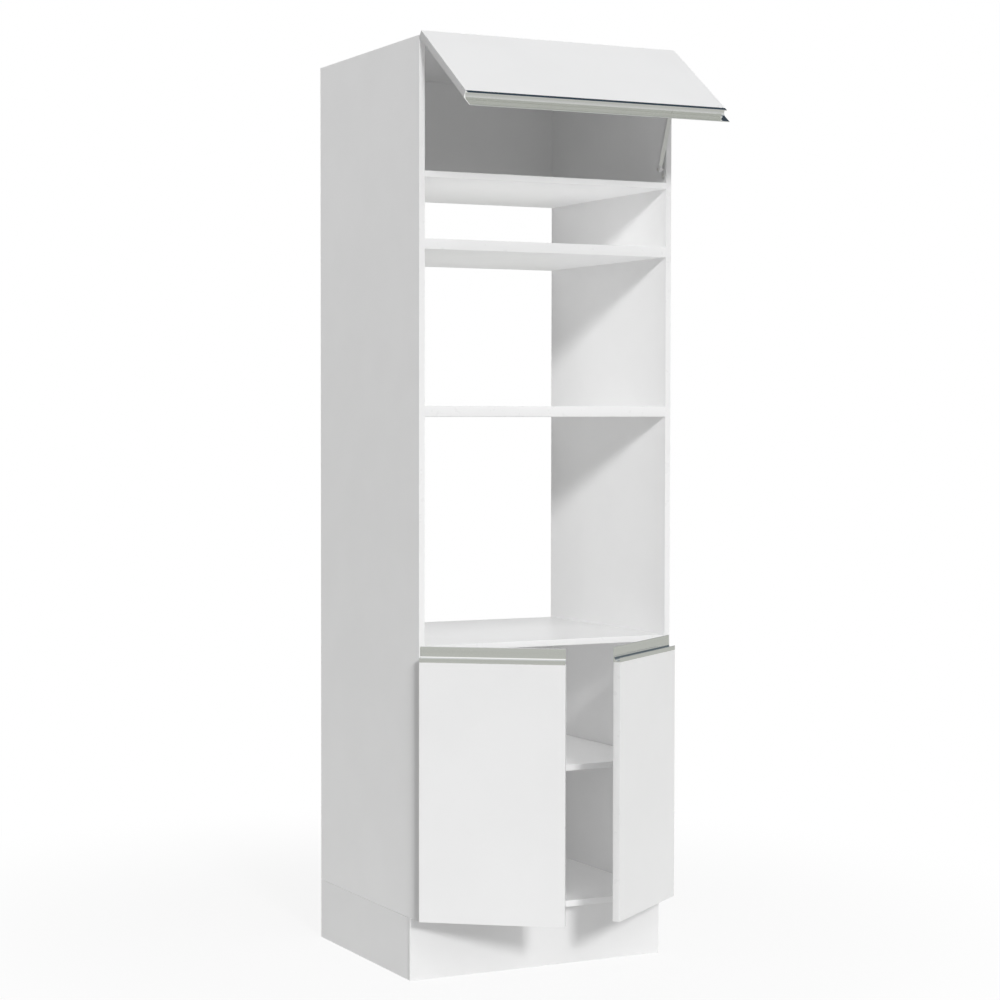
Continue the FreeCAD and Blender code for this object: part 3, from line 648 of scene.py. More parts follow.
def crossed(shape, reach, depth, above):
    """Cross recess in the top of a turned piece.
    Points above a level sink where they lie within either arm, less towards the arms' ends."""
    points, faces = shape
    x, y = np.abs(points[:, 0]), np.abs(points[:, 1])
    arm, soft = CROSS_ARM * reach, CROSS_SLOPE * reach
    arms = [
        np.clip((arm - a) / soft, 0, 1) * np.clip((reach - b) / soft, 0, 1) for a, b in ((x, y), (y, x))
    ]
    sunk = np.maximum(*arms) * (1 - CROSS_SHALLOWS * np.hypot(x, y) / reach)
    points[:, 2] -= depth * np.clip(sunk, 0, 1) * (points[:, 2] > above)
    return points, faces


def screw_head(radius, height, sides):
    """Domed head on Z 0 with a cross recess: its height at a radius r is h sqrt(1 - fall (r/R)^2)."""
    rings = np.linspace(0, radius, RECESS_RINGS)
    dome = np.column_stack([rings, height * np.sqrt(1 - HEAD_FALL * (rings / radius) ** 2)])
    profile = np.concatenate([dome, [(radius, 0), (0, 0)]])
    reach, depth, level = HEAD_RECESS
    return crossed(turned(profile, sides), reach * radius, depth * height, level * height)


def eased_plate(half_u, half_v, corner, thickness, arris, steps=6):
    """Flat plate on Z 0 with round corners and an eased upper edge.
    A point is its corner's centre plus (corner - inset)(cos a, sin a), and inset and height follow a
    quarter round."""
    turn = np.linspace(0, np.pi / 2, steps)
    around = np.concatenate([turn + k * np.pi / 2 for k in range(4)])
    signs = np.repeat([(1, 1), (-1, 1), (-1, -1), (1, -1)], steps, axis=0)
    centre = signs * (half_u - corner, half_v - corner)
    spoke = np.column_stack([np.cos(around), np.sin(around)])
    ease = np.column_stack([arris * (1 - np.cos(turn)), thickness - arris * (1 - np.sin(turn))])
    rows = np.concatenate([[(0, 0)], ease])
    plan = centre + (corner - rows[:, 0, None, None]) * spoke
    high = np.broadcast_to(rows[:, 1, None, None], (*plan.shape[:2], 1))
    walls = np.concatenate([plan, high], axis=-1)
    ends = [np.broadcast_to((0, 0, z), walls[:1].shape) for z in (0, thickness)]
    points = np.concatenate([ends[0], walls, ends[1]])
    return points.reshape(-1, 3), grid_faces(len(points), len(around))


def swept(outer, inner, span):
    """Section between two matching lines of points, carried along Z and closed at both ends.
    A point is (section x, section y, s) for s at the two ends; quads between the lines close the ends."""
    loop = np.concatenate([outer, inner[::-1]])
    count = len(loop)
    points = np.concatenate([np.column_stack([loop, np.full(count, z)]) for z in (0.0, span)])
    first = np.arange(len(outer) - 1)
    cap = np.stack([first, first + 1, count - 2 - first, count - 1 - first], axis=-1)
    return points, np.concatenate([grid_faces(2, count), cap, cap + count])


def carried(points, matrix):
    """Points in metres taken to their place."""
    turn = np.array(matrix)
    return points @ turn[:3, :3].T + turn[:3, 3]


def moved(shape, matrix):
    """Shape in millimetres taken to its place, in metres."""
    points, faces = shape
    return carried(points * MM, matrix), faces


def axes(origin, out, along):
    """Matrix whose Y points out, whose Z runs along, and whose origin is in metres."""
    y, z = Vector(out), Vector(along)
    x = y.cross(z)
    turn = Matrix((x, y, z)).transposed().to_4x4()
    return Matrix.Translation(Vector(origin)) @ turn


def facing(origin, out):
    """Matrix whose Z points out of a face."""
    return Matrix.Translation(Vector(origin)) @ Vector(out).to_track_quat("Z", "Y").to_matrix().to_4x4()


def copies(shape, spots, out, swing=STILL):
    """Copies of a shape at several spots on faces that look out, and then swung."""
    return [moved(shape, swing @ facing(spot, out)) for spot in spots]


def mesh_points(mesh):
    """Points of a mesh as an array."""
    points = np.empty(len(mesh.vertices) * 3)
    mesh.vertices.foreach_get("co", points)
    return points.reshape(-1, 3)


def make_piece(name, shapes, body, finish, stands_for=(), smooth=40.0):
    """One mesh from several closed shapes in metres, with doubles merged and normals outward."""
    offsets = np.cumsum([0] + [len(points) for points, _ in shapes[:-1]])
    points = np.concatenate([points for points, _ in shapes])
    faces = np.concatenate([faces + offset for (_, faces), offset in zip(shapes, offsets)])
    mesh = bpy.data.meshes.new(name)
    mesh.from_pydata(points, [], faces)
    work = bmesh.new()
    work.from_mesh(mesh)
    bmesh.ops.remove_doubles(work, verts=work.verts, dist=WELD)
    bmesh.ops.dissolve_degenerate(work, edges=work.edges, dist=WELD)
    bmesh.ops.recalc_face_normals(work, faces=work.faces)
    work.to_mesh(mesh)
    work.free()
    mesh.shade_smooth()
    mesh.set_sharp_from_angle(angle=math.radians(smooth))
    mesh.materials.append(finish_of(finish))
    piece = bpy.data.objects.new(name, mesh)
    bpy.context.scene.collection.objects.link(piece)
    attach(piece, body)
    if stands_for:
        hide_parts(*stands_for)
    return piece


# Where things are


def opening(front):
    """Matrix that swings a front from closed to the opening of the frame."""
    joint = JOINT_OF[FRONTS[front][0]]
    pivot = Vector(joint["pos_m"])
    turn = Matrix.Rotation(math.radians(-joint["range_deg"][0]), 4, Vector(joint["axis"]))
    return Matrix.Translation(pivot) @ turn @ Matrix.Translation(-pivot)


def closed_box(front, node):
    """Lowest and highest corner of a front's node with the front closed."""
    closed = carried(mesh_points(frame["nodes"][node].data), opening(front).inverted())
    return Vector(closed.min(0)), Vector(closed.max(0))


def front_board(front):
    return "flap_board" if front == "flap" else front + "_door_board"


def hinge_places(front):
    """Matrices from a hinge's own axes to the closed front's two hinges."""
    body, turn = FRONTS[front]
    pivot = Vector(JOINT_OF[body]["pos_m"])
    low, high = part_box(front + "_hinge_pins")
    along = 0 if front == "flap" else 2
    spots = []
    for value in (low[along] + PIN_HALF * MM, high[along] - PIN_HALF * MM):
        spot = pivot.copy()
        spot[along] = value
        spots.append(spot)
    return [Matrix.Translation(spot) @ Matrix.Rotation(math.radians(turn), 4, "Y") for spot in spots]


def local(x, y, z):
    return Vector((x, y, z)) * MM


# Operators, each one with the shapes that it needs


def grooved_board(low, high, groove):
    """Upright board along Y with a groove along both upper edges: half its section, mirrored and swept."""
    width, depth, height = (high - low) / MM
    half, neck, step = width / 2, width / 2 - GROOVE_DEPTH, height - groove
    right = np.array([(0, 0), (half, 0), (half, step), (neck, step), (neck, height), (0, height)])
    board = swept(right, right * (-1, 1), depth)
    turned_up = Matrix(((1, 0, 0), (0, 0, 1), (0, 1, 0))).to_4x4()
    return moved(board, Matrix.Translation(((low.x + high.x) / 2, low.y, low.z)) @ turned_up)


class CABINET_OT_boards(bpy.types.Operator):
    """Finish the boards, the back sheets and the corner blocks."""

    bl_idname = "cabinet.boards"
    bl_label = "Boards"

    def execute(self, context):
        for node in CARCASS_BOARDS:
            dress(node, "white carcass board")
        # The fronts' finish carries their lighter white, which is painted light
        for front in FRONTS:
            dress(front_board(front), "white front board")
        # The plinth's finishes carry its darker white, which is painted shade
        for node in PLINTH_BOARDS:
            dress(node, "white plinth face")
        groove = context.scene.cabinet_sizes.groove / MM
        sides = [grooved_board(*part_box(node), groove) for node in PLINTH_SIDES]
        make_piece("plinth_sides", sides, "carcass", "white plinth board", PLINTH_SIDES)
        for node in BACK_SHEETS:
            dress(node, "white back sheet")
        dress("plinth_corner_blocks", "planed pine")
        return {"FINISHED"}


def edging_section(width, thickness):
    """Flat strip whose two long arrises are quarter rounds of its thickness."""
    turn = np.linspace(0, np.pi / 2, EDGING_STEPS)
    half = width / 2
    rise = np.column_stack([thickness * (1 - np.cos(turn)) - half, thickness * np.sin(turn)])
    outer = np.concatenate([rise, rise[::-1] * (-1, 1)])
    return outer, outer * (1, 0)


def edging_strip(low, high, out, thickness):
    """Strip over the face of a box that looks out; it runs along the longer side of that face."""
    facing_axis = int(np.argmax(np.abs(out)))
    sides = [k for k in range(3) if k != facing_axis]
    spans = (high - low) / MM
    run, across = sorted(sides, key=lambda k: -spans[k])
    origin = (low + high) / 2
    origin[facing_axis] = high[facing_axis] if sum(out) > 0 else low[facing_axis]
    origin[run] = low[run]
    along = Vector((0, 0, 0))
    along[run] = 1
    strip = swept(*edging_section(spans[across], thickness), spans[run])
    return moved(strip, axes(origin, out, along))


class CABINET_OT_edging(bpy.types.Operator):
    """Lay edging strips on the boards' front edges and on the fronts' open edges."""

    bl_idname = "cabinet.edging"
    bl_label = "Edging"

    def execute(self, context):
        thickness = context.scene.cabinet_sizes.edging / MM
        strips = [edging_strip(*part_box(node), AHEAD, thickness) for node in CARCASS_BOARDS]
        make_piece("carcass_edging", strips, "carcass", "white edging")
        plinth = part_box("plinth_front_board")
        ends = [edging_strip(*plinth, (side, 0, 0), PLINTH_STRIP) for side in (-1, 1)]
        # These end strips take the plinth's darker white, which is painted shade
        make_piece("plinth_edging", ends, "carcass", "white plinth face")
        open_edges = {
            "left": ((1, 0, 0), (0, 0, -1)),
            "right": ((-1, 0, 0), (0, 0, -1)),
            "flap": ((1, 0, 0), (-1, 0, 0)),
        }
        for front, sides in open_edges.items():
            box = closed_box(front, front_board(front))
            strips = []
            for out in sides:
                points, faces = edging_strip(*box, out, thickness)
                strips.append((carried(points, opening(front)), faces))
            make_piece(front + "_edging", strips, FRONTS[front][0], "white edging")
        return {"FINISHED"}


def arc(centre, radius, start, end, steps=9):
    """Points of an arc between two angles in degrees."""
    turn = np.radians(np.linspace(start, end, steps))
    return np.column_stack([centre[0] + radius * np.cos(turn), centre[1] + radius * np.sin(turn)])


def flat(start, end):
    """Two points of a straight run, a little in from its ends, so that its shading stays flat."""
    start, end = np.array(start), np.array(end)
    inset = RAIL_INSET * (end - start) / np.linalg.norm(end - start)
    return np.stack([start + inset, end - inset])


def rail_section():
    """Handle rail as two matching lines: down the face and up the back, and through the finger channel."""
    tip = RAIL_WALL / 2
    inside = RAIL_DEPTH - RAIL_WALL
    lip, wing, heel = RAIL_LIP - tip, RAIL_WING - tip, RAIL_DEPTH - RAIL_HEEL
    outer = np.concatenate(
        [
            arc((tip, lip), tip, 90, 180, RAIL_STEPS),
            flat((0, lip), (0, RAIL_HEEL)),
            arc((RAIL_HEEL, RAIL_HEEL), RAIL_HEEL, 180, 270, RAIL_STEPS),
            flat((RAIL_HEEL, 0), (heel, 0)),
            arc((heel, RAIL_HEEL), RAIL_HEEL, 270, 360, RAIL_COVE_STEPS),
            flat((RAIL_DEPTH, RAIL_HEEL), (RAIL_DEPTH, wing)),
            arc((RAIL_DEPTH - tip, wing), tip, 0, 90, RAIL_STEPS),
        ]
    )
    toe = (RAIL_WALL + RAIL_TOE, RAIL_BASE + RAIL_TOE)
    cove = (inside - RAIL_COVE, RAIL_BASE + RAIL_COVE)
    inner = np.concatenate(
        [
            arc((tip, lip), tip, 90, 0, RAIL_STEPS),
            flat((RAIL_WALL, lip), (RAIL_WALL, toe[1])),
            arc(toe, RAIL_TOE, 180, 270, RAIL_STEPS),
            flat((toe[0], RAIL_BASE), (cove[0], RAIL_BASE)),
            arc(cove, RAIL_COVE, 270, 360, RAIL_COVE_STEPS),
            flat((inside, cove[1]), (inside, wing)),
            arc((RAIL_DEPTH - tip, wing), tip, 180, 90, RAIL_STEPS),
        ]
    )
    return outer, inner


class CABINET_OT_rails(bpy.types.Operator):
    """Make the handle rails of the doors and the flap."""

    bl_idname = "cabinet.rails"
    bl_label = "Handle rails"

    def execute(self, context):
        for front in FRONTS:
            low, high = closed_box(front, front_board(front))
            rise = -1 if front == "flap" else 1
            edge = low.z if front == "flap" else high.z
            span = (high.x - low.x) / MM
            shape = swept(*rail_section(), span)
            start = Vector((high.x if rise > 0 else low.x, low.y, edge))
            turn = Matrix(((0, 0, -rise), (1, 0, 0), (0, rise, 0))).to_4x4()
            shape = moved(shape, opening(front) @ Matrix.Translation(start) @ turn)
            node = front + "_handle_rail"
            piece = make_piece(
                front + "_rail", [shape], FRONTS[front][0], "anodised rail", [node]
            )
            unwrap_along(piece, opening(front).inverted())
        return {"FINISHED"}


def unwrap_along(piece, shut):
    """UV in metres: U along the closed front's width, V the height plus the depth across the section."""
    mesh = piece.data
    closed = carried(mesh_points(mesh), shut)
    corners = np.empty(len(mesh.loops), int)
    mesh.loops.foreach_get("vertex_index", corners)
    layer = mesh.uv_layers.new(name="UVMap")
    spread = np.column_stack([closed[corners, 0], closed[corners, 1] + closed[corners, 2]])
    layer.data.foreach_set("uv", spread.ravel())


def cup_shape(sides):
    """Hinge cup about Z: rim, bowl and outer wall. Points within the neck's slot on the pin's side sink to
    the neck's level."""
    near, far = BOWL_ROUND
    profile = np.concatenate(
        [
            [(0, -CUP_DEPTH), (CUP_OUTER, -CUP_DEPTH), (CUP_OUTER, 0), (CUP_RIM, 0)],
            quarter(CUP_RIM, FLANGE, CUP_ROUND),
            [(CUP_INNER + CUP_ROUND, FLANGE), (CUP_INNER, FLANGE - CUP_ROUND)],
            [(CUP_INNER, CUP_FLOOR + far), (CUP_INNER - near, CUP_FLOOR + near)],
            [(CUP_INNER - far, CUP_FLOOR), (0, CUP_FLOOR)],
        ]
    )
    points, faces = turned(profile, sides)
    notch = (np.abs(points[:, 1]) < NECK_SLOT + NECK_ROOM) & (points[:, 0] > 0)
    points[:, 2] = np.where(notch, np.minimum(points[:, 2], NECK_LEVEL), points[:, 2])
    return points, faces


def lug_shape(side):
    """Lug with a round eye about the pin: a stadium section carried along the pin."""
    eye = arc((0, 0), LUG_HALF, 90, 270, LUG_STEPS)
    outer = np.concatenate([[(LUG_LENGTH, LUG_HALF)], eye, [(LUG_LENGTH, -LUG_HALF)]])
    inner = np.column_stack([outer[:, 0], np.zeros(len(outer))])
    inner[1:-1, 0] = 0
    points, faces = swept(outer, inner, PIN_HALF - NECK_SLOT)
    return points + (0, 0, NECK_SLOT if side > 0 else -PIN_HALF), faces


class CABINET_OT_hinges(bpy.types.Operator):
    """Finish the hinges: round cups with their flanges and lugs, and every screw."""

    bl_idname = "cabinet.hinges"
    bl_label = "Hinges"

    def execute(self, context):
        sizes = context.scene.cabinet_sizes
        sides = sizes.turn_sides
        screw = screw_head(sizes.screw / MM, SCREW_RISE, sides)
        setting = screw_head(SETTING_RADIUS, SETTING_RISE, sides)
        cup = cup_shape(2 * sides)
        wing = eased_plate(*WING_HALF, WING_CORNER, FLANGE, sizes.arris / MM)
        for front, (body, _) in FRONTS.items():
            cups, cup_screws, plate_screws = [], [], []
            for spot in hinge_places(front):
                ridden = opening(front) @ spot
                cups += copies(cup, [local(CUP_X, CUP_FACE, 0)], REARWARD, ridden)
                cups += copies(wing, [local(WING_X, CUP_FACE, 0)], REARWARD, ridden)
                cups += [moved(lug_shape(side), ridden) for side in (-1, 1)]
                heads = [local(WING_X, CUP_FACE + FLANGE, z) for z in (-CUP_SCREW_Z, CUP_SCREW_Z)]
                cup_screws += copies(screw, heads, REARWARD, ridden)
                heads = [local(PLATE_WING_TOP, PLATE_ROW, z) for z in (-PLATE_SCREW_Z, PLATE_SCREW_Z)]
                plate_screws += copies(screw, heads, (1, 0, 0), spot)
                heads = [local(ARM_TOP, y, 0) for y in ARM_SCREW_ROWS]
                plate_screws += copies(setting, heads, (1, 0, 0), spot)
            make_piece(
                front + "_cups", cups, body, "nickel plate", [front + "_hinge_cups"]
            )
            make_piece(front + "_cup_screws", cup_screws, body, "nickel plate")
            make_piece(front + "_plate_screws", plate_screws, "carcass", "nickel plate")
            for piece in ("_hinge_arms", "_hinge_plates", "_hinge_pins"):
                dress(front + piece, "nickel plate")
        return {"FINISHED"}


def tube_shape(sides):
    """Stay's tube about Z: rounded ends, a crimped groove 1 + cos deep, and the gland of the rod."""
    low, high = TUBE_ENDS
    turn = np.linspace(0, np.pi / 2, TUBE_STEPS)
    rounding = TUBE_RADIUS - TUBE_ROUND * (1 - np.sin(turn))
    foot = np.column_stack([rounding, low + TUBE_ROUND * (1 - np.cos(turn))])
    shoulder = np.column_stack([rounding, high - TUBE_ROUND * (1 - np.cos(turn))])[::-1]
    around = np.linspace(-np.pi, np.pi, CRIMP_STEPS)
    groove = np.column_stack(
        [TUBE_RADIUS - CRIMP_DEPTH * (1 + np.cos(around)) / 2, CRIMP_AT + CRIMP_HALF * around / np.pi]
    )
    top = high + GLAND_RISE
    gland = [(GLAND_RADIUS, high), *quarter(GLAND_RADIUS, top, GLAND_ROUND), (STAY_ROD, top)]
    sunk = [(STAY_ROD, high - GLAND_DEPTH), (0, high - GLAND_DEPTH)]
    profile = np.concatenate([[(0, low)], foot, groove, shoulder, gland, sunk])
    return turned(profile, sides)


class CABINET_OT_stay(bpy.types.Operator):
    """Finish the gas stay and make its tube, the caps of its studs and its brackets' screws."""

    bl_idname = "cabinet.stay"
    bl_label = "Gas stay"

    def execute(self, context):
        sizes = context.scene.cabinet_sizes
        sides = sizes.turn_sides
        foot = Vector(JOINT_OF["stay_cylinder"]["pos_m"])
        along = Vector(JOINT_OF["stay_plunger"]["axis"])
        tube = moved(tube_shape(sides), facing(foot, along))
        make_piece("stay_body", [tube], "stay_cylinder", "light metal", ["stay_tube"])
        dress("stay_rod", "ground steel")
        for node in ("stay_foot_socket", "stay_head_socket"):
            dress(node, "socket plastic")
        for node in ("stay_foot_bracket", "stay_head_bracket"):
            dress(node, "light metal")
        screw = screw_head(sizes.screw / MM, SCREW_RISE, sides)
        low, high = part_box("stay_foot_bracket")
        face = Vector((high.x - BRACKET_PLATE * MM, foot.y, foot.z))
        spots = [face + local(0, 0, z) for z in (-FOOT_SCREWS, FOOT_SCREWS)]
        fixed = copies(screw, spots, (-1, 0, 0))
        edge, crown = STUD_CAP_RISE
        cap = turned([(0, 0), (STUD_CAP, 0), *quarter(STUD_CAP, edge, STUD_CAP_ROUND), (0, crown)], sides)
        fixed += copies(cap, [(low.x, foot.y, foot.z)], (-1, 0, 0))
        make_piece("stay_foot_screws", fixed, "carcass", "nickel plate")
        low, high = closed_box("flap", "stay_head_bracket")
        face = Vector((low.x + HEAD_SCREW_INSET * MM, low.y + BRACKET_PLATE * MM, (low.z + high.z) / 2))
        spots = [face + local(0, 0, z) for z in (-HEAD_SCREWS, HEAD_SCREWS)]
        swung = copies(screw, spots, REARWARD, opening("flap"))
        make_piece("stay_head_screws", swung, "flap", "nickel plate")
        return {"FINISHED"}


def cam_shape(radius, sides):
    """Cam let into a board: its body below Z 0, its rim on the face, and a cross recess in its top."""
    top = np.linspace(radius - CAM_ROUND, 0, RECESS_RINGS)
    reach, level = CAM_CROSS
    profile = np.concatenate(
        [
            [(0, -CAM_DEPTH), (CAM_BODY, -CAM_DEPTH), (CAM_BODY, 0), (radius, 0)],
            quarter(radius, CAM_RIM, CAM_ROUND),
            np.column_stack([top, np.full(len(top), CAM_RIM)])[1:],
        ]
    )
    return crossed(turned(profile, sides), reach * radius, CAM_RECESS, level * CAM_RIM)


def nail_places(node, inset, step):
    """Points along a sheet's four edges on its rear, set in from them and no further apart than a step."""
    low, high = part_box(node)
    start, span = np.array(low) + inset, np.array(high - low) - 2 * inset
    counts = [int(np.ceil(span[axis] / step)) for axis in (0, 2)]
    across, up = (np.linspace(0, 1, count + 1) for count in counts)
    sides = [(x, z) for x in across for z in (0, 1)] + [(x, z) for x in (0, 1) for z in up[1:-1]]
    return [(start[0] + x * span[0], high.y, start[2] + z * span[2]) for x, z in sides]


def shelf_pin_shape(gap, sides):
    """Pin about Z from inside the panel to under the shelf, with a collar as thick as the shelf's gap."""
    reach = gap + SHELF_PIN_REACH
    profile = np.concatenate(
        [
            [(0, -SHELF_PIN_BITE), (SHELF_PIN, -SHELF_PIN_BITE), (SHELF_PIN, 0), (SHELF_PIN_COLLAR, 0)],
            quarter(SHELF_PIN_COLLAR, gap, min(COLLAR_ROUND, gap / 2)),
            [(SHELF_PIN, gap)],
            quarter(SHELF_PIN, reach, SHELF_PIN_ROUND),
            [(0, reach)],
        ]
    )
    return turned(profile, sides)


class CABINET_OT_fastenings(bpy.types.Operator):
    """Make the cams, shelf pins, bumpers, nails and angle screws, and finish the bolts and wall angles."""

    bl_idname = "cabinet.fastenings"
    bl_label = "Fastenings"

    def execute(self, context):
        sizes = context.scene.cabinet_sizes
        sides = sizes.turn_sides
        cam = cam_shape(sizes.cam / MM, sides)
        cams = []
        for board in FIXED_BOARDS:
            low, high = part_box(board)
            face, way = (low.z, -1) if board in CAMS_BELOW else (high.z, 1)
            spots = [(x * MM, y * MM, face) for x in (-CAM_X, CAM_X) for y in CAM_ROWS]
            cams += copies(cam, spots, (0, 0, way))
        make_piece("cams", cams, "carcass", "zinc plate", ["cam_locks"])
        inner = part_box("right_side_panel")[0].x
        shelf_low, shelf_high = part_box("cupboard_shelf")
        pin = shelf_pin_shape((inner - shelf_high.x) / MM, sides)
        height = shelf_low.z - SHELF_PIN * MM
        pins = []
        for side in (-1, 1):
            spots = [(side * inner, row * MM, height) for row in SHELF_PIN_ROWS]
            pins += copies(pin, spots, (-side, 0, 0))
        make_piece("pins", pins, "carcass", "nickel plate", ["shelf_pins"])
        radius = sizes.nail / MM
        profile = [(0, 0), (radius, 0), *quarter(radius, NAIL_RISE, NAIL_ROUND), (0, NAIL_RISE)]
        nail = turned(profile, NAIL_SIDES)
        nails = []
        for sheet in BACK_SHEETS:
            nails += copies(nail, nail_places(sheet, sizes.nail_inset, sizes.nail_step), REARWARD)
        make_piece("nails", nails, "carcass", "zinc plate")
        screw = screw_head(sizes.screw / MM, SCREW_RISE, sides)
        low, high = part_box("wall_angles")
        half = ANGLE_HALF * MM
        leg = low.z + ANGLE_SHEET * MM
        spots = [(x, low.y + half, leg) for x in (low.x + half, high.x - half)]
        make_piece("angle_screws", copies(screw, spots, (0, 0, 1)), "carcass", "zinc plate")
        for front, (body, _) in FRONTS.items():
            low, high = closed_box(front, front + "_bumpers")
            radius = (high.z - low.z) / 2
            rise = (high.y - low.y) / MM
            turn = np.linspace(0, np.pi / 2, PAD_STEPS)
            domed = rise * (PAD_WALL + (1 - PAD_WALL) * np.sin(turn))
            dome = np.column_stack([radius / MM * np.cos(turn), domed])
            pad = turned([(0, 0), (radius / MM, 0), *dome], sides)
            spots = [(x, low.y, (low.z + high.z) / 2) for x in (low.x + radius, high.x - radius)]
            pads = copies(pad, spots, REARWARD, opening(front))
            make_piece(front + "_pads", pads, body, "clear pad", [front + "_bumpers"])
        for node in ("cam_bolts", "wall_angles"):
            dress(node, "zinc plate")
        return {"FINISHED"}


# Stage


def make_camera(stage):
    """Camera at the photograph's place: forward is (sin yaw cos pitch, cos yaw cos pitch, -sin pitch)."""
    data = bpy.data.cameras.new("camera")
    data.lens = stage.lens
    data.sensor_width = SENSOR
    data.shift_x = stage.shift
    camera = bpy.data.objects.new("camera", data)
    camera.location = stage.camera
    ahead = Vector((math.sin(stage.yaw), math.cos(stage.yaw), 0)) * math.cos(stage.pitch)
    ahead.z = -math.sin(stage.pitch)
    camera.rotation_euler = ahead.to_track_quat("-Z", "Y").to_euler()
    bpy.context.scene.collection.objects.link(camera)
    bpy.context.scene.camera = camera


def seen_directly(tree):
    """1 for rays from the camera, and for those that pass through or mirror off a piece."""
    path = tree.add("ShaderNodeLightPath").outputs
    mirrored = tree.maths("MAXIMUM", path["Is Glossy Ray"], path["Is Transmission Ray"])
    return path, tree.maths("MAXIMUM", path["Is Camera Ray"], mirrored)


def lobe(tree, part, sharpness, strength):
    """Soft light from one side: a power of a direction's part towards that side, times its strength."""
    towards = tree.maths("POWER", tree.maths("MAXIMUM", part, 0.0), sharpness)
    return tree.maths("MULTIPLY", towards, strength)


def toward(tree, direction, middle, edge):
    """1 near one direction, falling to 0 between the two cosines of its edge."""
    near = tree.add("ShaderNodeVectorMath", {0: direction, 1: middle}, operation="DOT_PRODUCT")
    return tree.ramp(near.outputs["Value"], *edge, 0, 1)


def make_world(stage):
    """Soft light from three sides, a white background, and surroundings for metal to mirror."""
    world = bpy.data.worlds.new("studio")
    world.use_nodes = True
    world.node_tree.nodes.clear()
    tree = Tree(world.node_tree)
    path, direct = seen_directly(tree)
    coordinates = tree.add("ShaderNodeTexCoord").outputs["Generated"]
    parts = tree.add("ShaderNodeSeparateXYZ", {"Vector": coordinates}).outputs
    sky = tree.blend(tree.ramp(parts["X"], *LIGHT_TO_DIM, 0, 1), rgba(stage.horizon), rgba(stage.dim))
    sky = tree.blend(tree.ramp(parts["Z"], *HORIZON_TO_ZENITH, 0, 1), sky, rgba(stage.zenith))
    sky = tree.blend(toward(tree, coordinates, PATCH_TOWARDS, PATCH_EDGE), sky, rgba(stage.patch))
    sky = tree.blend(tree.ramp(parts["Z"], *FLOOR_TO_HORIZON, 0, 1), rgba(stage.mirrored), sky)
    sky = tree.blend(toward(tree, coordinates, PALE_TOWARDS, PALE_EDGE), sky, rgba(stage.pale))
    seen = tree.blend(path["Is Glossy Ray"], (1, 1, 1, 1), sky)
    backdrop = tree.add("ShaderNodeBackground", {"Color": seen, "Strength": 1.0})
    high = tree.maths("MULTIPLY", tree.maths("SUBTRACT", parts["Z"], parts["Y"]), math.sqrt(0.5))
    sides = [
        (parts["Y"], BROAD, stage.behind),
        (parts["X"], BROAD, stage.beside),
        (high, GATHERED, stage.ahead),
    ]
    soft = 0.0
    for part, sharpness, strength_there in sides:
        soft = tree.maths("ADD", soft, lobe(tree, part, sharpness, strength_there))
    ambient = tree.add("ShaderNodeBackground", {"Color": (1, 1, 1, 1), "Strength": soft})
    mixed = tree.add("ShaderNodeMixShader", {0: direct, 1: ambient.outputs[0], 2: backdrop.outputs[0]})
    tree.add("ShaderNodeOutputWorld", {"Surface": mixed.outputs[0]})
    bpy.context.scene.world = world


def make_lamp(name, kind, energy, **settings):
    """Lamp that leaves no glare."""
    data = bpy.data.lights.new(name, kind)
    data.energy = energy
    for setting, value in settings.items():
        setattr(data, setting, value)
    lamp = bpy.data.objects.new(name, data)
    lamp.visible_glossy = False
    bpy.context.scene.collection.objects.link(lamp)
    return lamp


def make_sun(name, energy, towards, size, shadow=True):
    """Distant lamp that shines along a direction."""
    lamp = make_lamp(name, "SUN", energy, angle=size, use_shadow=shadow)
    lamp.rotation_euler = Vector(towards).to_track_quat("-Z", "Y").to_euler()
    return lamp


def light_only(lamp, names, state="INCLUDE"):
    """Keep a lamp's light to the named pieces, or off them."""
    receivers = bpy.data.collections.new(lamp.name)
    for name in names:
        receivers.objects.link(bpy.data.objects[name])
    for row in receivers.collection_objects:
        row.light_linking.link_state = state
    lamp.light_linking.receiver_collection = receivers


def make_lamps(stage):
    """Key, a lamp of its direction for the upright boards, one inside, and two fills without shadow."""
    along, size = stage.key_from, stage.key_size
    make_sun("key", stage.key, along, size)
    light_only(make_sun("graze", stage.graze, along, size), UPRIGHTS)
    inside = make_lamp("inside", "POINT", stage.inside, shadow_soft_size=stage.inside_size)
    inside.location = stage.inside_at
    inside.visible_camera = False
    light_only(inside, SIDE_PANELS)
    light_only(make_sun("fill", stage.fill, (0, 0, -1), size, False), ["oven_floor"], "EXCLUDE")
    light_only(make_sun("bounce", stage.bounce, (0, 0, 1), size, False), LIT_FROM_BELOW)


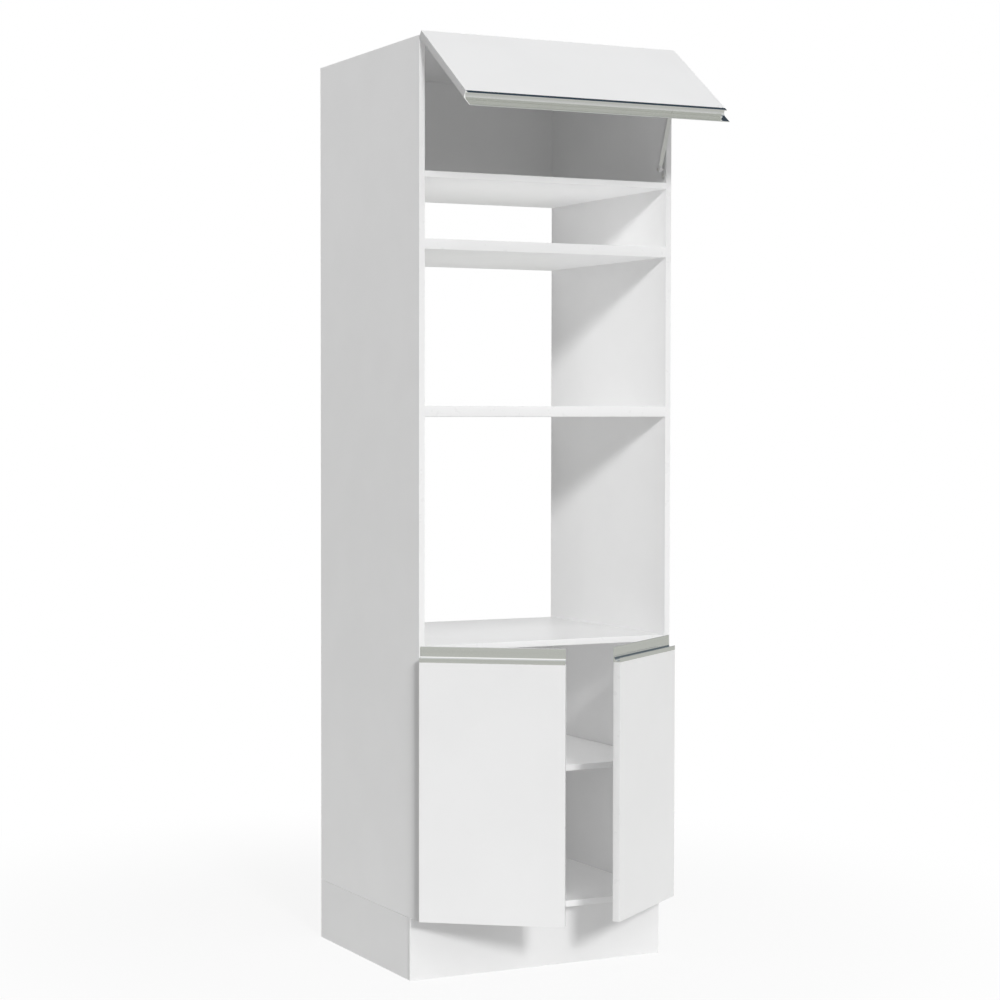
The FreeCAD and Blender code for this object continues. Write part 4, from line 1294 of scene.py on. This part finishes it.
def make_ground(stage):
    """Pale floor that the camera sees as white, with a part of the cabinet's shadow near its foot."""
    half = stage.ground_half
    mesh = bpy.data.meshes.new("ground")
    corners = [(-half, -half, 0), (half, -half, 0), (half, half, 0), (-half, half, 0)]
    mesh.from_pydata(corners, [], [(0, 1, 2, 3)])
    ground = bpy.data.objects.new("ground", mesh)
    bpy.context.scene.collection.objects.link(ground)
    material = bpy.data.materials.new("ground")
    material.use_nodes = True
    material.node_tree.nodes.clear()
    tree = Tree(material.node_tree)
    path, direct = seen_directly(tree)
    spot = object_coordinates(tree)
    away = tree.add("ShaderNodeVectorMath", {0: spot}, operation="LENGTH").outputs["Value"]
    kept = tree.ramp(away, *SHADE_FADE, stage.shade, 0.0)
    white = tree.maths("MULTIPLY", direct, tree.maths("SUBTRACT", 1.0, kept))
    seen = tree.blend(path["Is Glossy Ray"], (1, 1, 1, 1), rgba(stage.mirrored))
    matt = tree.add("ShaderNodeBsdfDiffuse", {"Color": rgba(stage.ground)})
    glow = tree.add("ShaderNodeEmission", {"Color": seen, "Strength": 1.0})
    mixed = tree.add("ShaderNodeMixShader", {0: white, 1: matt.outputs[0], 2: glow.outputs[0]})
    tree.add("ShaderNodeOutputMaterial", {"Surface": mixed.outputs[0]})
    mesh.materials.append(material)


class CABINET_OT_stage(bpy.types.Operator):
    """Set the camera, the lamps, the ambient light and the floor."""

    bl_idname = "cabinet.stage"
    bl_label = "Stage"

    def execute(self, context):
        stage = context.scene.cabinet_stage
        make_camera(stage)
        make_world(stage)
        make_lamps(stage)
        make_ground(stage)
        context.scene.view_settings.view_transform = "Standard"
        context.scene.cycles.diffuse_bounces = stage.bounces
        return {"FINISHED"}


class CABINET_PT_panel(bpy.types.Panel):
    """The cabinet's steps and values."""

    bl_idname = "CABINET_PT_panel"
    bl_label = "Oven housing cabinet"
    bl_space_type = "VIEW_3D"
    bl_region_type = "UI"
    bl_category = "Cabinet"

    def draw(self, context):
        for step in OPERATORS:
            self.layout.operator(step.bl_idname)
        for group in POINTERS:
            values = getattr(context.scene, group)
            for name in values.__annotations__:
                self.layout.prop(values, name)


OPERATORS = (
    CABINET_OT_boards,
    CABINET_OT_edging,
    CABINET_OT_rails,
    CABINET_OT_hinges,
    CABINET_OT_stay,
    CABINET_OT_fastenings,
    CABINET_OT_stage,
)
POINTERS = {
    "cabinet_colours": CabinetColours,
    "cabinet_sizes": CabinetSizes,
    "cabinet_stage": CabinetStage,
}


def register():
    for group in POINTERS.values():
        bpy.utils.register_class(group)
    for name, group in POINTERS.items():
        setattr(bpy.types.Scene, name, PointerProperty(type=group))
    for step in (*OPERATORS, CABINET_PT_panel):
        bpy.utils.register_class(step)


def unregister():
    for step in (CABINET_PT_panel, *reversed(OPERATORS)):
        bpy.utils.unregister_class(step)
    for name, group in POINTERS.items():
        delattr(bpy.types.Scene, name)
        bpy.utils.unregister_class(group)


def main():
    register()
    bpy.ops.cabinet.boards()
    bpy.ops.cabinet.edging()
    bpy.ops.cabinet.rails()
    bpy.ops.cabinet.hinges()
    bpy.ops.cabinet.stay()
    bpy.ops.cabinet.fastenings()
    bpy.ops.cabinet.stage()


if __name__ == "__main__":
    main()
